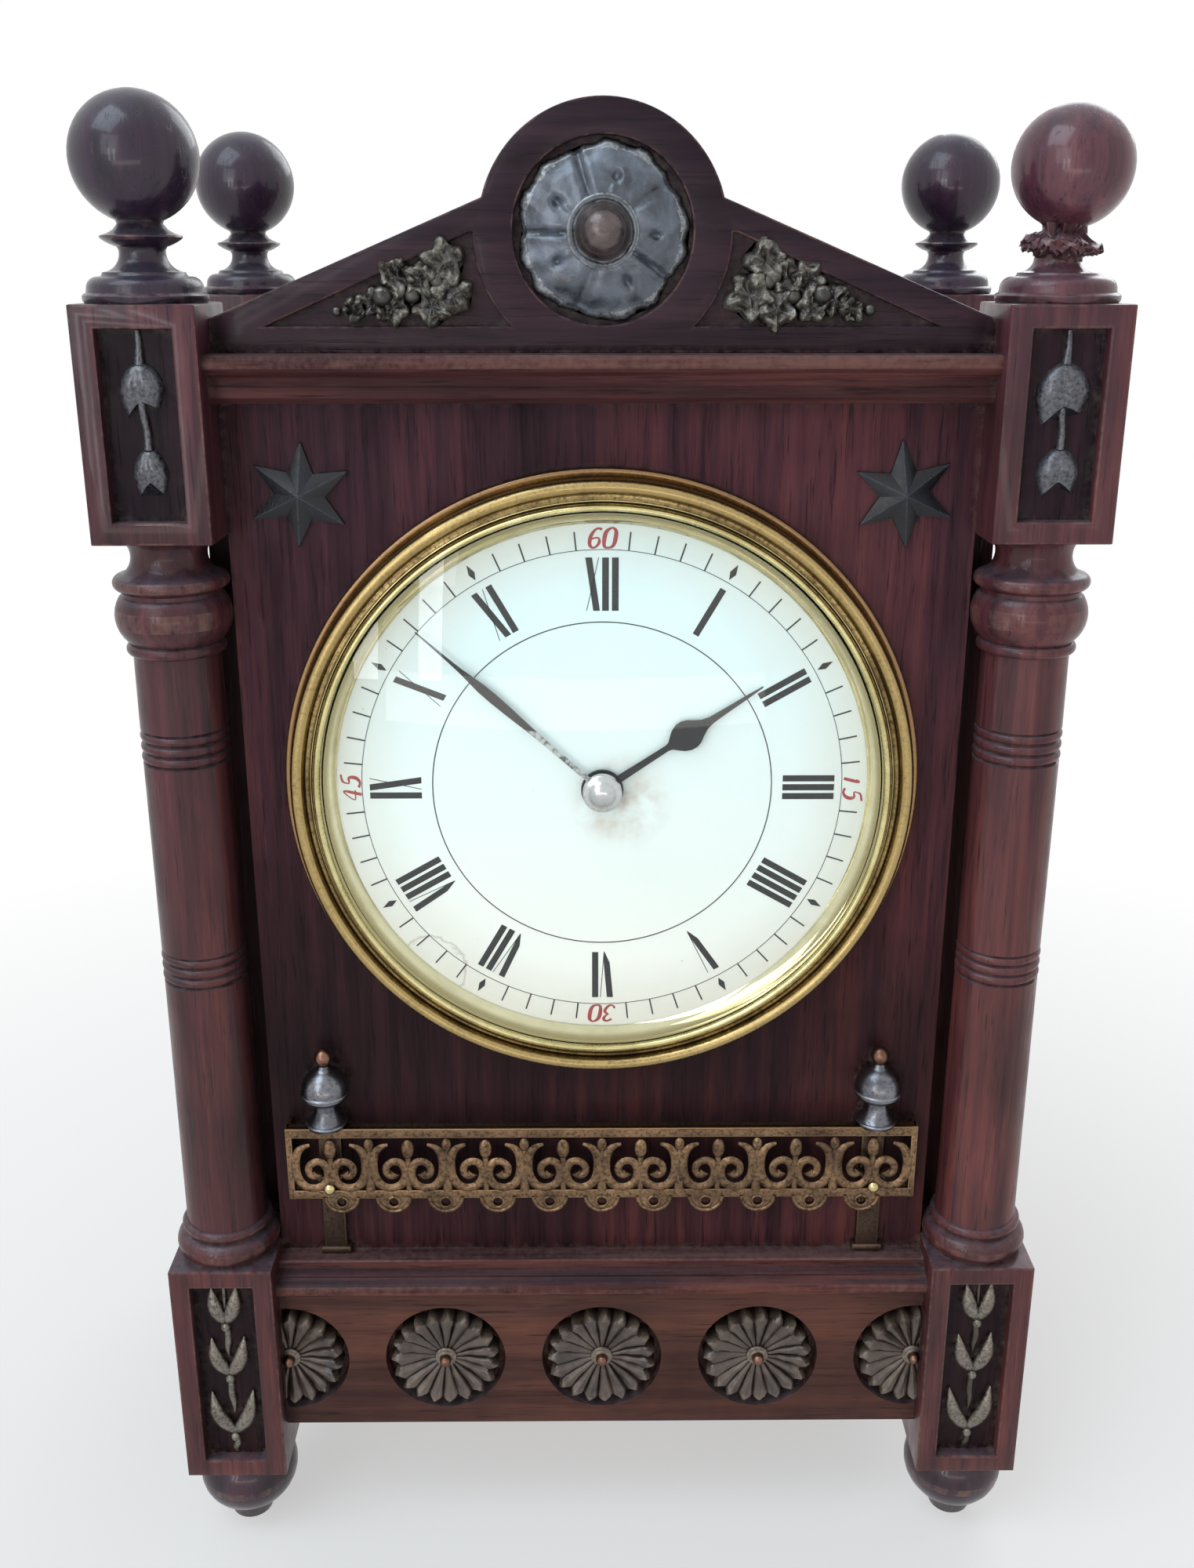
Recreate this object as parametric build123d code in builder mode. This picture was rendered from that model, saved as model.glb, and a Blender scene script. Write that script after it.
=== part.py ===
"""Small oak mantel clock with four turned posts, a pediment and a spring-driven movement.

X runs to the right, Y to the rear and Z up. The origin is on the floor, under the middle of the case.
All lengths are in millimetres.
"""
from build123d import *
import os
from math import atan2, cos, degrees, hypot, pi, radians, sin, sqrt

os.makedirs("parts", exist_ok=True)

# Fits
running_gap = 0.05
fixed_gap = 0.02
free_gap = 0.3
overrun = 5.0

# Corner posts
post_width = 21.2
post_spacing_y = 86.8
lower_block_height = 51.7
upper_block_height = 40.2
shaft_radius = 8.0
torus_radius = 10.4
torus_height = 5.0
base_ring_radius = 9.2
base_ring_height = 2.6
band_height = 6.2
band_groove_depth = 0.6
band_beads = 3
band_rise_shares = (0.44, 0.74)
collar_radius = 9.0
collar_height = 2.4
vase_radius = 10.4
vase_height = 8.4
vase_foot_radius = 8.6
quirk_radius = 9.4
quirk_height = 1.0
ring_radius = 10.4
ring_height = 3.0
neck_radius = 6.8
neck_height = 6.4
dowel_radius = 2.5
dowel_length = 8.0
block_panel_width = 12.8
block_panel_margin = 4.0
block_panel_depth = 2.6

# Turned feet
foot_height = 17.7
peg_foot_radius = 4.4
peg_radius = 5.0
peg_height = 4.7
bun_radius = 10.5
bun_foot_radius = 7.0
bun_top_radius = 8.8

# Ball finials
finial_base_lap = 0.3
finial_base_inset = 0.8
finial_base_height = 3.4
finial_step_radius = 7.4
finial_step_height = 1.0
finial_neck_radius = 3.9
finial_neck_height = 4.4
finial_collar_radius = 6.9
finial_collar_edge = 5.2
finial_collar_height = 3.6
finial_throat_height = 1.4
ball_radius = 10.7
ball_seat_radius = 5.0

# Case boards
panel_recess = 12.0
board = 6.0
plinth_lift = 9.5
cornice_drop = 8.3
glue_block_width = 10.0
door_stile = 18.1
door_sill = 32.0
door_head = 31.3
door_gap = 0.4

# Mouldings: each reach is measured out from the board that carries it
plinth_height = 33.5
plinth_reach = 7.0
base_bead_reach = 9.5
base_bead_edge = 8.0
base_bead_height = 3.4
base_quirk_reach = 7.3
base_tread_height = 0.9
base_step_reach = 4.7
base_step_height = 1.6
cornice_height = 8.3
cornice_reach = 10.0
cornice_bead_edge = 8.6
cornice_bead_height = 3.2
cornice_fascia_reach = 6.5
cornice_fascia_height = 1.8
cornice_foot_reach = 5.5
cornice_foot_height = 1.0

# Plinth rosettes
rosette_count = 5
rosette_end_inset = 1.3
rosette_socket_radius = 12.7
rosette_socket_depth = 3.6
rosette_radius = 11.5
rosette_valley_radius = 10.2
rosette_flutes = 20
rosette_rim = 1.6
rosette_crown = 2.6
rosette_crown_share = 0.3
rosette_boss_radius = 2.6
rosette_boss_height = 1.6

# Pediment
pediment_recess = 9.0
pediment_thick = 7.0
pediment_end_height = 5.7
arch_radius = 21.2
arch_centre_rise = 19.8
arch_spring_angle = 15.0
rosette_recess_radius = 15.3
rosette_recess_depth = 2.5
gable_recess_depth = 1.6
gable_ring_gap = 0.9
gable_foot_rise = 4.4
gable_tip_inset = 9.7
gable_top_x = 22.7
gable_top_rise = 19.7
gable_inner_x = 10.0

# Pediment rosette and carved leaves
petal_count = 9
petal_radius = 14.7
petal_valley_radius = 12.6
petal_rim = 1.2
petal_crown = 2.2
petal_crown_share = 0.42
boss_radius = 6.0
boss_height = 2.6
boss_dome_radius = 3.8
boss_dome_height = 2.2
leaf_x = 29.0
leaf_rise = 10.6
leaf_points = 5
leaf_radius = 5.6
leaf_valley_radius = 3.4
leaf_rim = 0.6
leaf_crown = 1.6
leaf_crown_share = 0.15
grape_radius = 1.45
grape_x = 36.4
grape_rise = 9.05
grape_rows = 3
grape_pitch_share = 2.1
grape_rim = 0.8
grape_dome = 1.2
grape_stalk_width = 2.4
grape_stalk_thick = 0.5

# Carved stars and bellflower drops
star_angle = 45.4
star_gap = 7.5
star_points_count = 6
star_radius = 9.8
star_valley_radius = 4.6
star_rim = 0.6
star_crown = 2.4
star_crown_share = 0.06
husk_width = 8.4
husk_height = 12.0
husk_thick = 1.3
husk_ridge = 0.9
husk_ridge_share = 0.45
husk_half_shares = ((0.12, 0.5), (0.3, 0.2), (0.4, -0.15), (0.5, -0.5), (0.24, -0.3), (0.0, -0.42))
upper_husk_count = 2
lower_husk_count = 3
stem_width = 1.6

# Brass gallery
gallery_stand_off = 4.1
gallery_thick = 0.8
gallery_end_gap = 3.3
gallery_lift = 15.4
gallery_height = 16.6
gallery_gap = 12.1
gallery_border = 1.3
gallery_bar = 1.1
gallery_modules = 8
scroll_share = 0.3
bud_share = 0.3
lobe_count = 11
lobe_radius = 4.2
lobe_drop = 3.5
lobe_hole_radius = 1.2
bracket_inset = 8.4
bracket_width = 5.0
bracket_head_width = 8.0
bracket_head_height = 3.0
bracket_foot_depth = 1.6
urn_foot_radius = 3.6
urn_foot_height = 1.6
urn_neck_radius = 1.7
urn_neck_height = 2.6
urn_body_radius = 3.9
urn_body_height = 6.2
urn_throat_radius = 1.5
urn_throat_height = 1.6
urn_ball_radius = 2.9
pin_head_radius = 1.2
pin_head_height = 0.9
pin_radius = 0.6
pin_lift = 2.4

# Bezel, glass and dial
bezel_side_gap = 7.7
bezel_top_gap = 11.5
bezel_step_width = 2.2
bezel_step_height = 2.0
bezel_torus_width = 2.4
bezel_torus_height = 6.5
bezel_groove_height = 4.9
bezel_lip_width = 0.8
bezel_lip_height = 6.2
bezel_lip_thick = 0.9
glass_lap = 1.2
glass_thick = 1.8
glass_rise = 6.2
glass_edge_drop = 0.5
dial_lap = 7.3
dial_thick = 2.0
dial_hole_radius = 3.6
dial_foot_radius = 0.8
dial_foot_ring = 34.0
dial_foot_angles = (100.0, 200.0, 320.0)

# Hands, set to eight minutes to two
hand_thick = 0.4
hour_hand_lift = 1.0
minute_hand_lift = 1.9
hour_hand_inset = 17.4
minute_hand_inset = 7.4
hour_hand_angle = 56.0
minute_hand_angle = 312.0
hour_hub_radius = 4.0
minute_hub_radius = 2.9
hour_bulge_width = 6.6
minute_bulge_width = 3.6
hour_hand_shares = ((0.0, 0.13), (0.42, 0.13), (0.52, 0.5), (0.62, 0.42), (0.72, 0.12), (1.0, 0.04))
minute_hand_shares = ((0.0, 0.22), (0.4, 0.26), (0.62, 0.5), (0.74, 0.3), (0.85, 0.14), (1.0, 0.06))
nut_radius = 3.7
nut_height = 2.8
nut_dome_share = 0.45

# Movement plates
plate_step = 6.0
plate_thick = 2.0
plate_gap = 18.0
plate_hole_gap = 1.0
pillar_clearance = 2.24
pillar_margin = 3.5
pillar_radius = 2.4
pillar_rivet_radius = 1.5
pillar_rivet_height = 0.8
pillar_angles = (45.0, 135.0, 215.0, 325.0)
seat_ring_lap = 9.0
seat_ring_step = 5.0
seat_ring_thick = 2.0
plate_screw_inset = 2.6
panel_screw_inset = 4.5
seat_screw_count = 4
screw_radius = 1.0
screw_head_radius = 2.0
screw_head_height = 1.2
screw_bite = 4.0

# Going train: tooth counts and modules
barrel_teeth = 72
centre_leaves = 12
centre_teeth = 64
third_leaves = 8
centre_module = 0.36
third_teeth = 60
fourth_leaves = 8
third_module = 0.33
fourth_teeth = 64
escape_leaves = 8
fourth_module = 0.3
escape_teeth = 15
escape_radius = 4.2
escape_root_radius = 3.0

# Tooth forms: half widths at root, pitch line and tip in pitches, then heights in modules
wheel_tooth_shares = (0.23, 0.22, 0.07, 1.15, 0.9)
leaf_tooth_shares = (0.15, 0.18, 0.08, 1.2, 0.75)

# Directions between the arbors, seen from the front
barrel_angle = -90.0
third_angle = 40.0
fourth_angle = 130.0
escape_angle = 140.0
lever_angle = 212.6
minute_wheel_angle = -30.0
lever_distance = 7.2
balance_distance = 11.2

# Train sizes along the arbors, measured back from the front plate
barrel_level = 1.0
barrel_depth = 10.0
barrel_wall = 0.8
barrel_wheel_thick = 2.0
barrel_drum_radius = 16.6
barrel_rim = 1.4
barrel_lead = 0.5
wheel_thick = 1.2
wheel_lead = 0.5
centre_wheel_level = 13.0
third_wheel_level = 4.0
fourth_wheel_level = 9.0
escape_wheel_level = 13.0
balance_level = 9.2
arbor_radius = 0.8
pivot_radius = 0.5
crossing_count = 5
crossing_ring_share = 0.58
crossing_share = 0.24
centre_pipe_radius = 2.1

# Winding
core_radius = 3.6
winding_radius = 2.0
winding_square = 2.8
winding_square_length = 10.0
spring_turns = 9
spring_thick = 0.4
spring_outer_gap = 0.4
ratchet_radius = 7.0
ratchet_root_radius = 5.9
ratchet_teeth = 24
ratchet_thick = 1.5
ratchet_clearance = 0.25
click_reach = 11.4
click_boss_radius = 2.2
click_width = 1.8
click_pin_radius = 0.9

# Lever and balance
lever_thick = 0.8
lever_width = 1.2
pallet_gap = 0.7
pallet_angle = 52.0
pallet_width = 0.9
fork_gap = 0.5
fork_width = 2.6
fork_notch_width = 0.9
fork_notch_depth = 1.0
balance_radius = 9.0
balance_rim = 1.1
balance_thick = 1.2
balance_arm_width = 1.4
balance_hub_radius = 1.8
roller_radius = 1.8
roller_thick = 0.6
hairspring_turns = 6
hairspring_thick = 0.2
hairspring_height = 0.6
hairspring_radius = 5.6
hairspring_inner_radius = 1.4
hairspring_drop = 3.0

# Motion work under the dial
cannon_leaves = 12
minute_wheel_teeth = 36
minute_module = 0.5
minute_leaves = 10
hour_teeth = 40
hour_module = 0.48
motion_wheel_thick = 0.8
motion_gap = 0.35
cannon_pipe_radius = 1.9
hour_pipe_wall = 0.7
centre_arbor_radius = 1.3
stud_radius = 1.0
thread_radius = 0.9
knob_radius = 5.0
knob_height = 5.0
knob_stand_off = 6.0

# Back door fittings
hinge_height = 18.0
hinge_inset = 26.0
knuckle_radius = 1.8
knuckle_count = 3
hinge_pin_radius = 0.8
leaf_width = 10.0
leaf_thick = 0.8
button_length = 16.0
button_width = 4.4
button_thick = 1.8
button_inset = 5.4
button_pin_radius = 1.2
button_pin_depth = 4.0


def facing(x, z, y):
    """Plane square to the Y axis at depth y, with its own origin at x and z and its normal to the front."""
    return Plane(origin=(x, y, z), x_dir=(1, 0, 0), z_dir=(0, -1, 0))


def upright(x, y):
    """Plane through a vertical axis: radius runs along X and height along Z."""
    return Plane(origin=(x, y, 0), x_dir=(1, 0, 0), z_dir=(0, -1, 0))


def lengthwise(x, z):
    """Plane through an axis that runs front to back: radius runs along X and depth along Y."""
    return Plane(origin=(x, 0, z), x_dir=(1, 0, 0), z_dir=(0, 0, 1))


def write(piece, label):
    """Labels a finished piece and writes it to its own file."""
    piece.label = label
    export_step(piece, f"parts/{label}.step")


def outline(stations, plane, inner=0):
    """Closed face between the plane's own Y axis, or a line beside it, and an outline.

    Each station is a distance from the axis and a height. A third value arcs there through that distance
    at half height, and a fourth value gives the arc's own height.
    """
    with BuildSketch(plane) as section:
        with BuildLine():
            first = (inner, stations[0][1])
            last = first
            for reach, height, *through in stations:
                here = (reach, height)
                if through:
                    middle = through[1] if len(through) > 1 else (last[1] + height) / 2
                    ThreePointArc(last, (through[0], middle), here)
                elif here != last:
                    Line(last, here)
                last = here
            if last[0] != inner:
                Line(last, (inner, last[1]))
            Line((inner, last[1]), first)
        make_face()
    return section.sketch


def turned(stations, plane, bore=0, mode=Mode.ADD):
    """Turns an outline round the plane's own Y axis."""
    revolve(outline(stations, plane, bore), axis=Axis(plane.origin, plane.y_dir), mode=mode)


def dome(radius, base, rise):
    """Last station of a turned piece: a cap of a sphere that closes over the axis."""
    sphere = (radius ** 2 + rise ** 2) / (2 * abs(rise))
    drop = sphere - sqrt(sphere ** 2 - radius ** 2 / 4)
    return (0, base + rise, radius / 2, base + rise * (1 - drop / abs(rise)))


def disc(plane, radius, thickness, mode=Mode.ADD):
    """Round plate or round hole that stands out of its plane."""
    with BuildSketch(plane) as outline:
        Circle(radius)
    extrude(outline.sketch, amount=thickness, mode=mode)


def rod(x, z, radius, near_y, far_y, mode=Mode.ADD):
    """Round rod or hole along Y between two depths."""
    disc(facing(x, z, far_y), radius, far_y - near_y, mode)


def slab(x_range, y_range, z_range, mode=Mode.ADD):
    """Box between two limits on each axis."""
    with BuildSketch(Plane.XY.offset(z_range[0])) as outline:
        with Locations(((x_range[0] + x_range[1]) / 2, (y_range[0] + y_range[1]) / 2)):
            Rectangle(x_range[1] - x_range[0], y_range[1] - y_range[0])
    extrude(outline.sketch, amount=z_range[1] - z_range[0], mode=mode)


def star_outline(points, tip, valley):
    """Corners of a star with its first tip straight up."""
    corners = []
    for corner in range(2 * points):
        radius = valley if corner % 2 else tip
        angle = pi / 2 + corner * pi / points
        corners.append((radius * cos(angle), radius * sin(angle)))
    return corners


def carved(plane, corners, rim, crown, crown_share):
    """Flat-edged carving whose ridges and valleys rise from its rim to a smaller copy of its outline."""
    with BuildSketch(plane) as base:
        Polygon(*corners, align=None)
    extrude(base.sketch, amount=rim)
    with BuildSketch(plane.offset(rim)) as lower:
        Polygon(*corners, align=None)
    with BuildSketch(plane.offset(rim + crown)) as upper:
        Polygon(*[(x * crown_share, y * crown_share) for x, y in corners], align=None)
    loft([lower.sketch.face(), upper.sketch.face()], ruled=True)


def bar(start, end, width):
    """Straight bar of a sketch between two points."""
    length = hypot(end[0] - start[0], end[1] - start[1])
    angle = degrees(atan2(end[1] - start[1], end[0] - start[0]))
    with Locations(Location(((start[0] + end[0]) / 2, (start[1] + end[1]) / 2), angle)):
        Rectangle(length, width)


def spiral(plane, inner, pitch, turns, thick):
    """Face of a flat coiled strip, made of half circles whose centres alternate."""
    def chain(offset):
        arcs = []
        for half in range(2 * turns):
            radius = inner + half * pitch / 2 + offset
            middle = pitch / 2 if half % 2 else 0
            side = -1 if half % 2 else 1
            arcs.append(((middle + side * radius, 0), (middle, side * radius), (middle - side * radius, 0)))
        return arcs
    outer, inside = chain(thick / 2), chain(-thick / 2)
    with BuildSketch(plane) as strip:
        with BuildLine():
            for arc in outer + inside:
                ThreePointArc(*arc)
            Line(outer[0][0], inside[0][0])
            Line(outer[-1][2], inside[-1][2])
        make_face()
    return strip.sketch


def polar(distance, angle, x=0, z=0):
    """Point at a distance and an angle in degrees from x and z, seen from the front."""
    return (x + distance * cos(radians(angle)), z + distance * sin(radians(angle)))


def tooth_outline(teeth, module, shares, phase):
    """Corners of a toothed wheel with one tooth centred on the phase angle in radians."""
    root, pitch_line, tip, depth, height = shares
    pitch_radius = module * teeth / 2
    corners = []
    for tooth in range(teeth):
        middle = phase + tooth * 2 * pi / teeth
        low = pitch_radius - depth * module
        high = pitch_radius + height * module
        half = ((low, -root), (pitch_radius, -pitch_line), (high, -tip),
                (high, tip), (pitch_radius, pitch_line), (low, root))
        for radius, share in half:
            angle = middle + share * 2 * pi / teeth
            corners.append((radius * cos(angle), radius * sin(angle)))
    return corners


def toothed(plane, teeth, module, shares, phase, thickness):
    """Toothed wheel or pinion that stands out of its plane."""
    with BuildSketch(plane) as outline:
        Polygon(*tooth_outline(teeth, module, shares, phase), align=None)
    extrude(outline.sketch, amount=thickness)


def crossings(plane, radius, thickness):
    """Round openings that lighten a wheel."""
    with BuildSketch(plane) as openings:
        with PolarLocations(radius * crossing_ring_share, crossing_count):
            Circle(radius * crossing_share)
    extrude(openings.sketch, amount=thickness, mode=Mode.SUBTRACT)


def direction(start, end):
    """Angle in radians from one arbor to another."""
    return atan2(end[1] - start[1], end[0] - start[0])


def wheel_distance(module, teeth, leaves):
    """Distance between two meshing arbors."""
    return module * (teeth + leaves) / 2


def planted(offset):
    """Place of an arbor, as x and height, from its offset to the centre arbor."""
    return (offset[0], dial_height + offset[1])


# Arbor offsets from the centre arbor, seen from the front
barrel_module = 2 * (barrel_drum_radius + barrel_rim) / barrel_teeth
barrel_offset = polar(wheel_distance(barrel_module, barrel_teeth, centre_leaves), barrel_angle)
third_offset = polar(wheel_distance(centre_module, centre_teeth, third_leaves), third_angle)
fourth_offset = polar(wheel_distance(third_module, third_teeth, fourth_leaves), fourth_angle, *third_offset)
escape_offset = polar(wheel_distance(fourth_module, fourth_teeth, escape_leaves), escape_angle,
                      *fourth_offset)
lever_offset = polar(lever_distance, lever_angle, *escape_offset)
balance_offset = polar(balance_distance, lever_angle, *lever_offset)
minute_wheel_offset = polar(wheel_distance(minute_module, minute_wheel_teeth, cannon_leaves),
                            minute_wheel_angle)

# Plates as large as the train needs, then the dial and bezel that cover them
pillar_ring = hypot(*balance_offset) + balance_radius + pillar_clearance
back_plate_radius = pillar_ring + pillar_margin
front_plate_radius = back_plate_radius + plate_step
panel_hole_radius = front_plate_radius + plate_hole_gap
seat_ring_bore = front_plate_radius - seat_ring_step
seat_ring_radius = panel_hole_radius + seat_ring_lap
plate_screw_ring = front_plate_radius - plate_screw_inset
panel_screw_ring = seat_ring_radius - panel_screw_inset
dial_radius = panel_hole_radius + dial_lap
glass_seat_radius = dial_radius + free_gap
sight_radius = glass_seat_radius - glass_lap
bezel_groove_radius = glass_seat_radius + bezel_lip_width
bezel_step_radius = bezel_groove_radius + bezel_torus_width
bezel_radius = bezel_step_radius + bezel_step_width

# Widths and depths of the case
inner_x = bezel_radius + bezel_side_gap
post_x = inner_x + post_width / 2
post_y = post_spacing_y / 2
inner_y = post_y - post_width / 2
front_y = -(post_y + post_width / 2)
panel_front_y = front_y + panel_recess
panel_rear_y = panel_front_y + board
back_front_y = -panel_rear_y
back_rear_y = -panel_front_y
gallery_length = 2 * (inner_x - gallery_end_gap)
bracket_x = gallery_length / 2 - bracket_inset

# Heights, from the floor up
lower_block_top = foot_height + lower_block_height
case_bottom = foot_height + plinth_lift
plinth_top = case_bottom + plinth_height
base_tread_top = plinth_top + base_bead_height + base_tread_height
ledge_top = base_tread_top + base_step_height
gallery_bottom = ledge_top + gallery_lift
gallery_top = gallery_bottom + gallery_height
dial_height = gallery_top + gallery_gap + bezel_radius
cornice_bottom = dial_height + bezel_radius + bezel_top_gap
case_top = cornice_bottom + cornice_height
upper_block_top = case_top + cornice_drop
upper_block_bottom = upper_block_top - upper_block_height
column_height = upper_block_bottom - lower_block_top

# Depths of the movement and dial
plate_front_y = panel_rear_y - plate_thick
plate_rear_y = panel_rear_y
back_plate_y = plate_rear_y + plate_gap
back_plate_rear_y = back_plate_y + plate_thick
dial_front_y = panel_front_y - dial_thick

# Arbor places in the case
centre = planted((0, 0))
barrel_at = planted(barrel_offset)
third_at = planted(third_offset)
fourth_at = planted(fourth_offset)
escape_at = planted(escape_offset)
lever_at = planted(lever_offset)
balance_at = planted(balance_offset)
minute_wheel_at = planted(minute_wheel_offset)

# Corner posts: square blocks with a turned column between them
neck_bottom = upper_block_bottom - neck_height
ring_bottom = neck_bottom - ring_height
vase_top = ring_bottom - quirk_height
vase_bottom = vase_top - vase_height
collar_bottom = vase_bottom - collar_height
torus_top = lower_block_top + torus_height
column_stations = [
    (base_ring_radius, lower_block_top),
    (base_ring_radius, torus_top, torus_radius),
    (shaft_radius, torus_top),
    (shaft_radius, torus_top + base_ring_height, base_ring_radius),
]
for share in band_rise_shares:
    band_bottom = lower_block_top + column_height * share - band_height / 2
    bead_height = band_height / band_beads
    column_stations.append((shaft_radius, band_bottom))
    for bead in range(band_beads):
        bead_bottom = band_bottom + bead * bead_height
        column_stations.append((shaft_radius - band_groove_depth, bead_bottom))
        column_stations.append((shaft_radius - band_groove_depth, bead_bottom + bead_height, shaft_radius))
    column_stations.append((shaft_radius, band_bottom + band_height))
column_stations += [
    (shaft_radius, collar_bottom),
    (shaft_radius, vase_bottom, collar_radius),
    (vase_foot_radius, vase_bottom),
    (quirk_radius, vase_top, vase_radius),
    (quirk_radius, ring_bottom),
    (quirk_radius, neck_bottom, ring_radius),
    (shaft_radius, neck_bottom),
    (shaft_radius, upper_block_bottom, neck_radius),
]
corners = (("front_left", -1, -1), ("front_right", 1, -1), ("rear_left", -1, 1), ("rear_right", 1, 1))
block_limits = ((foot_height, lower_block_top), (upper_block_bottom, upper_block_top))
hole_radius = dowel_radius + fixed_gap
hole_depth = dowel_length + fixed_gap
for corner, side_x, side_y in corners:
    x = side_x * post_x
    y = side_y * post_y
    with BuildPart() as post:
        turned(column_stations, upright(x, y))
        for low, high in block_limits:
            slab((x - post_width / 2, x + post_width / 2), (y - post_width / 2, y + post_width / 2),
                 (low, high))
        disc(Plane(origin=(x, y, foot_height)), hole_radius, hole_depth, Mode.SUBTRACT)
        disc(Plane(origin=(x, y, upper_block_top - hole_depth)), hole_radius, hole_depth, Mode.SUBTRACT)
        if side_y < 0:
            for low, high in block_limits:
                with BuildSketch(facing(x, (low + high) / 2, front_y)):
                    Rectangle(block_panel_width, high - low - 2 * block_panel_margin)
                extrude(amount=-block_panel_depth, mode=Mode.SUBTRACT)
    write(post.part, f"post_{corner}")

# Turned feet, dowelled into the posts
foot_stations = [
    (peg_foot_radius, 0),
    (peg_radius, peg_height),
    (bun_foot_radius, peg_height),
    (bun_top_radius, foot_height, bun_radius),
    (dowel_radius, foot_height),
    (dowel_radius, foot_height + dowel_length),
]
with BuildPart() as turned_feet:
    for corner, side_x, side_y in corners:
        turned(foot_stations, upright(side_x * post_x, side_y * post_y))
write(turned_feet.part, "turned_feet")

# Ball finials, dowelled into the tops of the posts
finial_base_radius = post_width / 2 + finial_base_lap
finial_base_edge = post_width / 2 - finial_base_inset
finial_step_bottom = upper_block_top + finial_base_height
finial_neck_bottom = finial_step_bottom + finial_step_height
finial_collar_bottom = finial_neck_bottom + finial_neck_height
finial_throat_bottom = finial_collar_bottom + finial_collar_height
ball_bottom = finial_throat_bottom + finial_throat_height
ball_centre = ball_bottom + sqrt(ball_radius ** 2 - ball_seat_radius ** 2)
finial_stations = [
    (dowel_radius, upper_block_top - dowel_length),
    (dowel_radius, upper_block_top),
    (finial_base_edge, upper_block_top),
    (finial_base_edge, finial_step_bottom, finial_base_radius),
    (finial_step_radius, finial_step_bottom),
    (finial_step_radius, finial_neck_bottom),
    (finial_neck_radius, finial_collar_bottom, (finial_step_radius + 3 * finial_neck_radius) / 4),
    (finial_collar_edge, finial_collar_bottom),
    (finial_collar_edge, finial_throat_bottom, finial_collar_radius),
    (ball_seat_radius, ball_bottom),
    (0, ball_centre + ball_radius, ball_radius, ball_centre),
]
for corner, side_x, side_y in corners:
    with BuildPart() as finial:
        turned(finial_stations, upright(side_x * post_x, side_y * post_y))
    write(finial.part, f"finial_{corner}")

# Front panel, with the hole for the movement and the blind holes of its screws
seat_rear_y = panel_rear_y + seat_ring_thick
screw_tip_y = panel_rear_y - screw_bite
plate_screws = [polar(plate_screw_ring, 360 / seat_screw_count * screw, *centre)
                for screw in range(seat_screw_count)]
panel_screws = [polar(panel_screw_ring, 360 / seat_screw_count * (screw + 1 / 2), *centre)
                for screw in range(seat_screw_count)]
with BuildPart() as front_panel:
    slab((-inner_x, inner_x), (panel_front_y, panel_rear_y), (case_bottom, case_top))
    rod(*centre, panel_hole_radius, panel_front_y, panel_rear_y, Mode.SUBTRACT)
    for x, z in panel_screws:
        rod(x, z, screw_radius + fixed_gap, screw_tip_y - fixed_gap, panel_rear_y, Mode.SUBTRACT)
write(front_panel.part, "front_panel")

# Side panels between the front and rear posts
for name, side in (("side_panel_left", -1), ("side_panel_right", 1)):
    with BuildPart() as side_panel:
        near, far = sorted((side * inner_x, side * (inner_x + board)))
        slab((near, far), (-inner_y, inner_y), (case_bottom, case_top))
    write(side_panel.part, name)

# Back frame with the door opening and the hole for the turn button's pin
door_bottom = case_bottom + door_sill
door_top = case_top - door_head
door_edge = inner_x - door_stile
opening_edge = door_edge + door_gap
button_x = -(opening_edge + button_inset)
button_z = (door_bottom + door_top) / 2
with BuildPart() as back_frame:
    slab((-inner_x, inner_x), (back_front_y, back_rear_y), (case_bottom, case_top))
    slab((-opening_edge, opening_edge), (back_front_y, back_rear_y),
         (door_bottom - door_gap, door_top + door_gap), Mode.SUBTRACT)
    rod(button_x, button_z, button_pin_radius + running_gap,
        back_rear_y - button_pin_depth - free_gap, back_rear_y, Mode.SUBTRACT)
write(back_frame.part, "back_frame")

# Top and base boards inside the case
with BuildPart() as top_board:
    slab((-inner_x, inner_x), (panel_rear_y, back_front_y), (case_top - board, case_top))
write(top_board.part, "top_board")
with BuildPart() as base_board:
    slab((-inner_x, inner_x), (panel_rear_y, back_front_y), (case_bottom, case_bottom + board))
write(base_board.part, "base_board")

# Glue blocks in the inside corners close the gaps behind the columns
with BuildPart() as glue_blocks:
    for corner, side_x, side_y in corners:
        x_range = sorted((side_x * (inner_x - glue_block_width), side_x * inner_x))
        y_range = sorted((side_y * (back_front_y - glue_block_width), side_y * back_front_y))
        slab(x_range, y_range, (case_bottom + board, case_top - board))
write(glue_blocks.part, "glue_blocks")

# Mouldings: one length across the front and one along each side, fitted between the posts
moulding_runs = (
    (Plane(origin=(0, panel_front_y, 0), x_dir=(0, -1, 0), z_dir=(-1, 0, 0)), inner_x),
    (Plane(origin=(inner_x + board, 0, 0), x_dir=(1, 0, 0), z_dir=(0, -1, 0)), inner_y),
    (Plane(origin=(-inner_x - board, 0, 0), x_dir=(-1, 0, 0), z_dir=(0, 1, 0)), inner_y),
)


def mouldings(stations):
    """Lays one moulding outline along all three runs."""
    for plane, half_length in moulding_runs:
        extrude(outline(stations, plane), amount=half_length, both=True)


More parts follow.
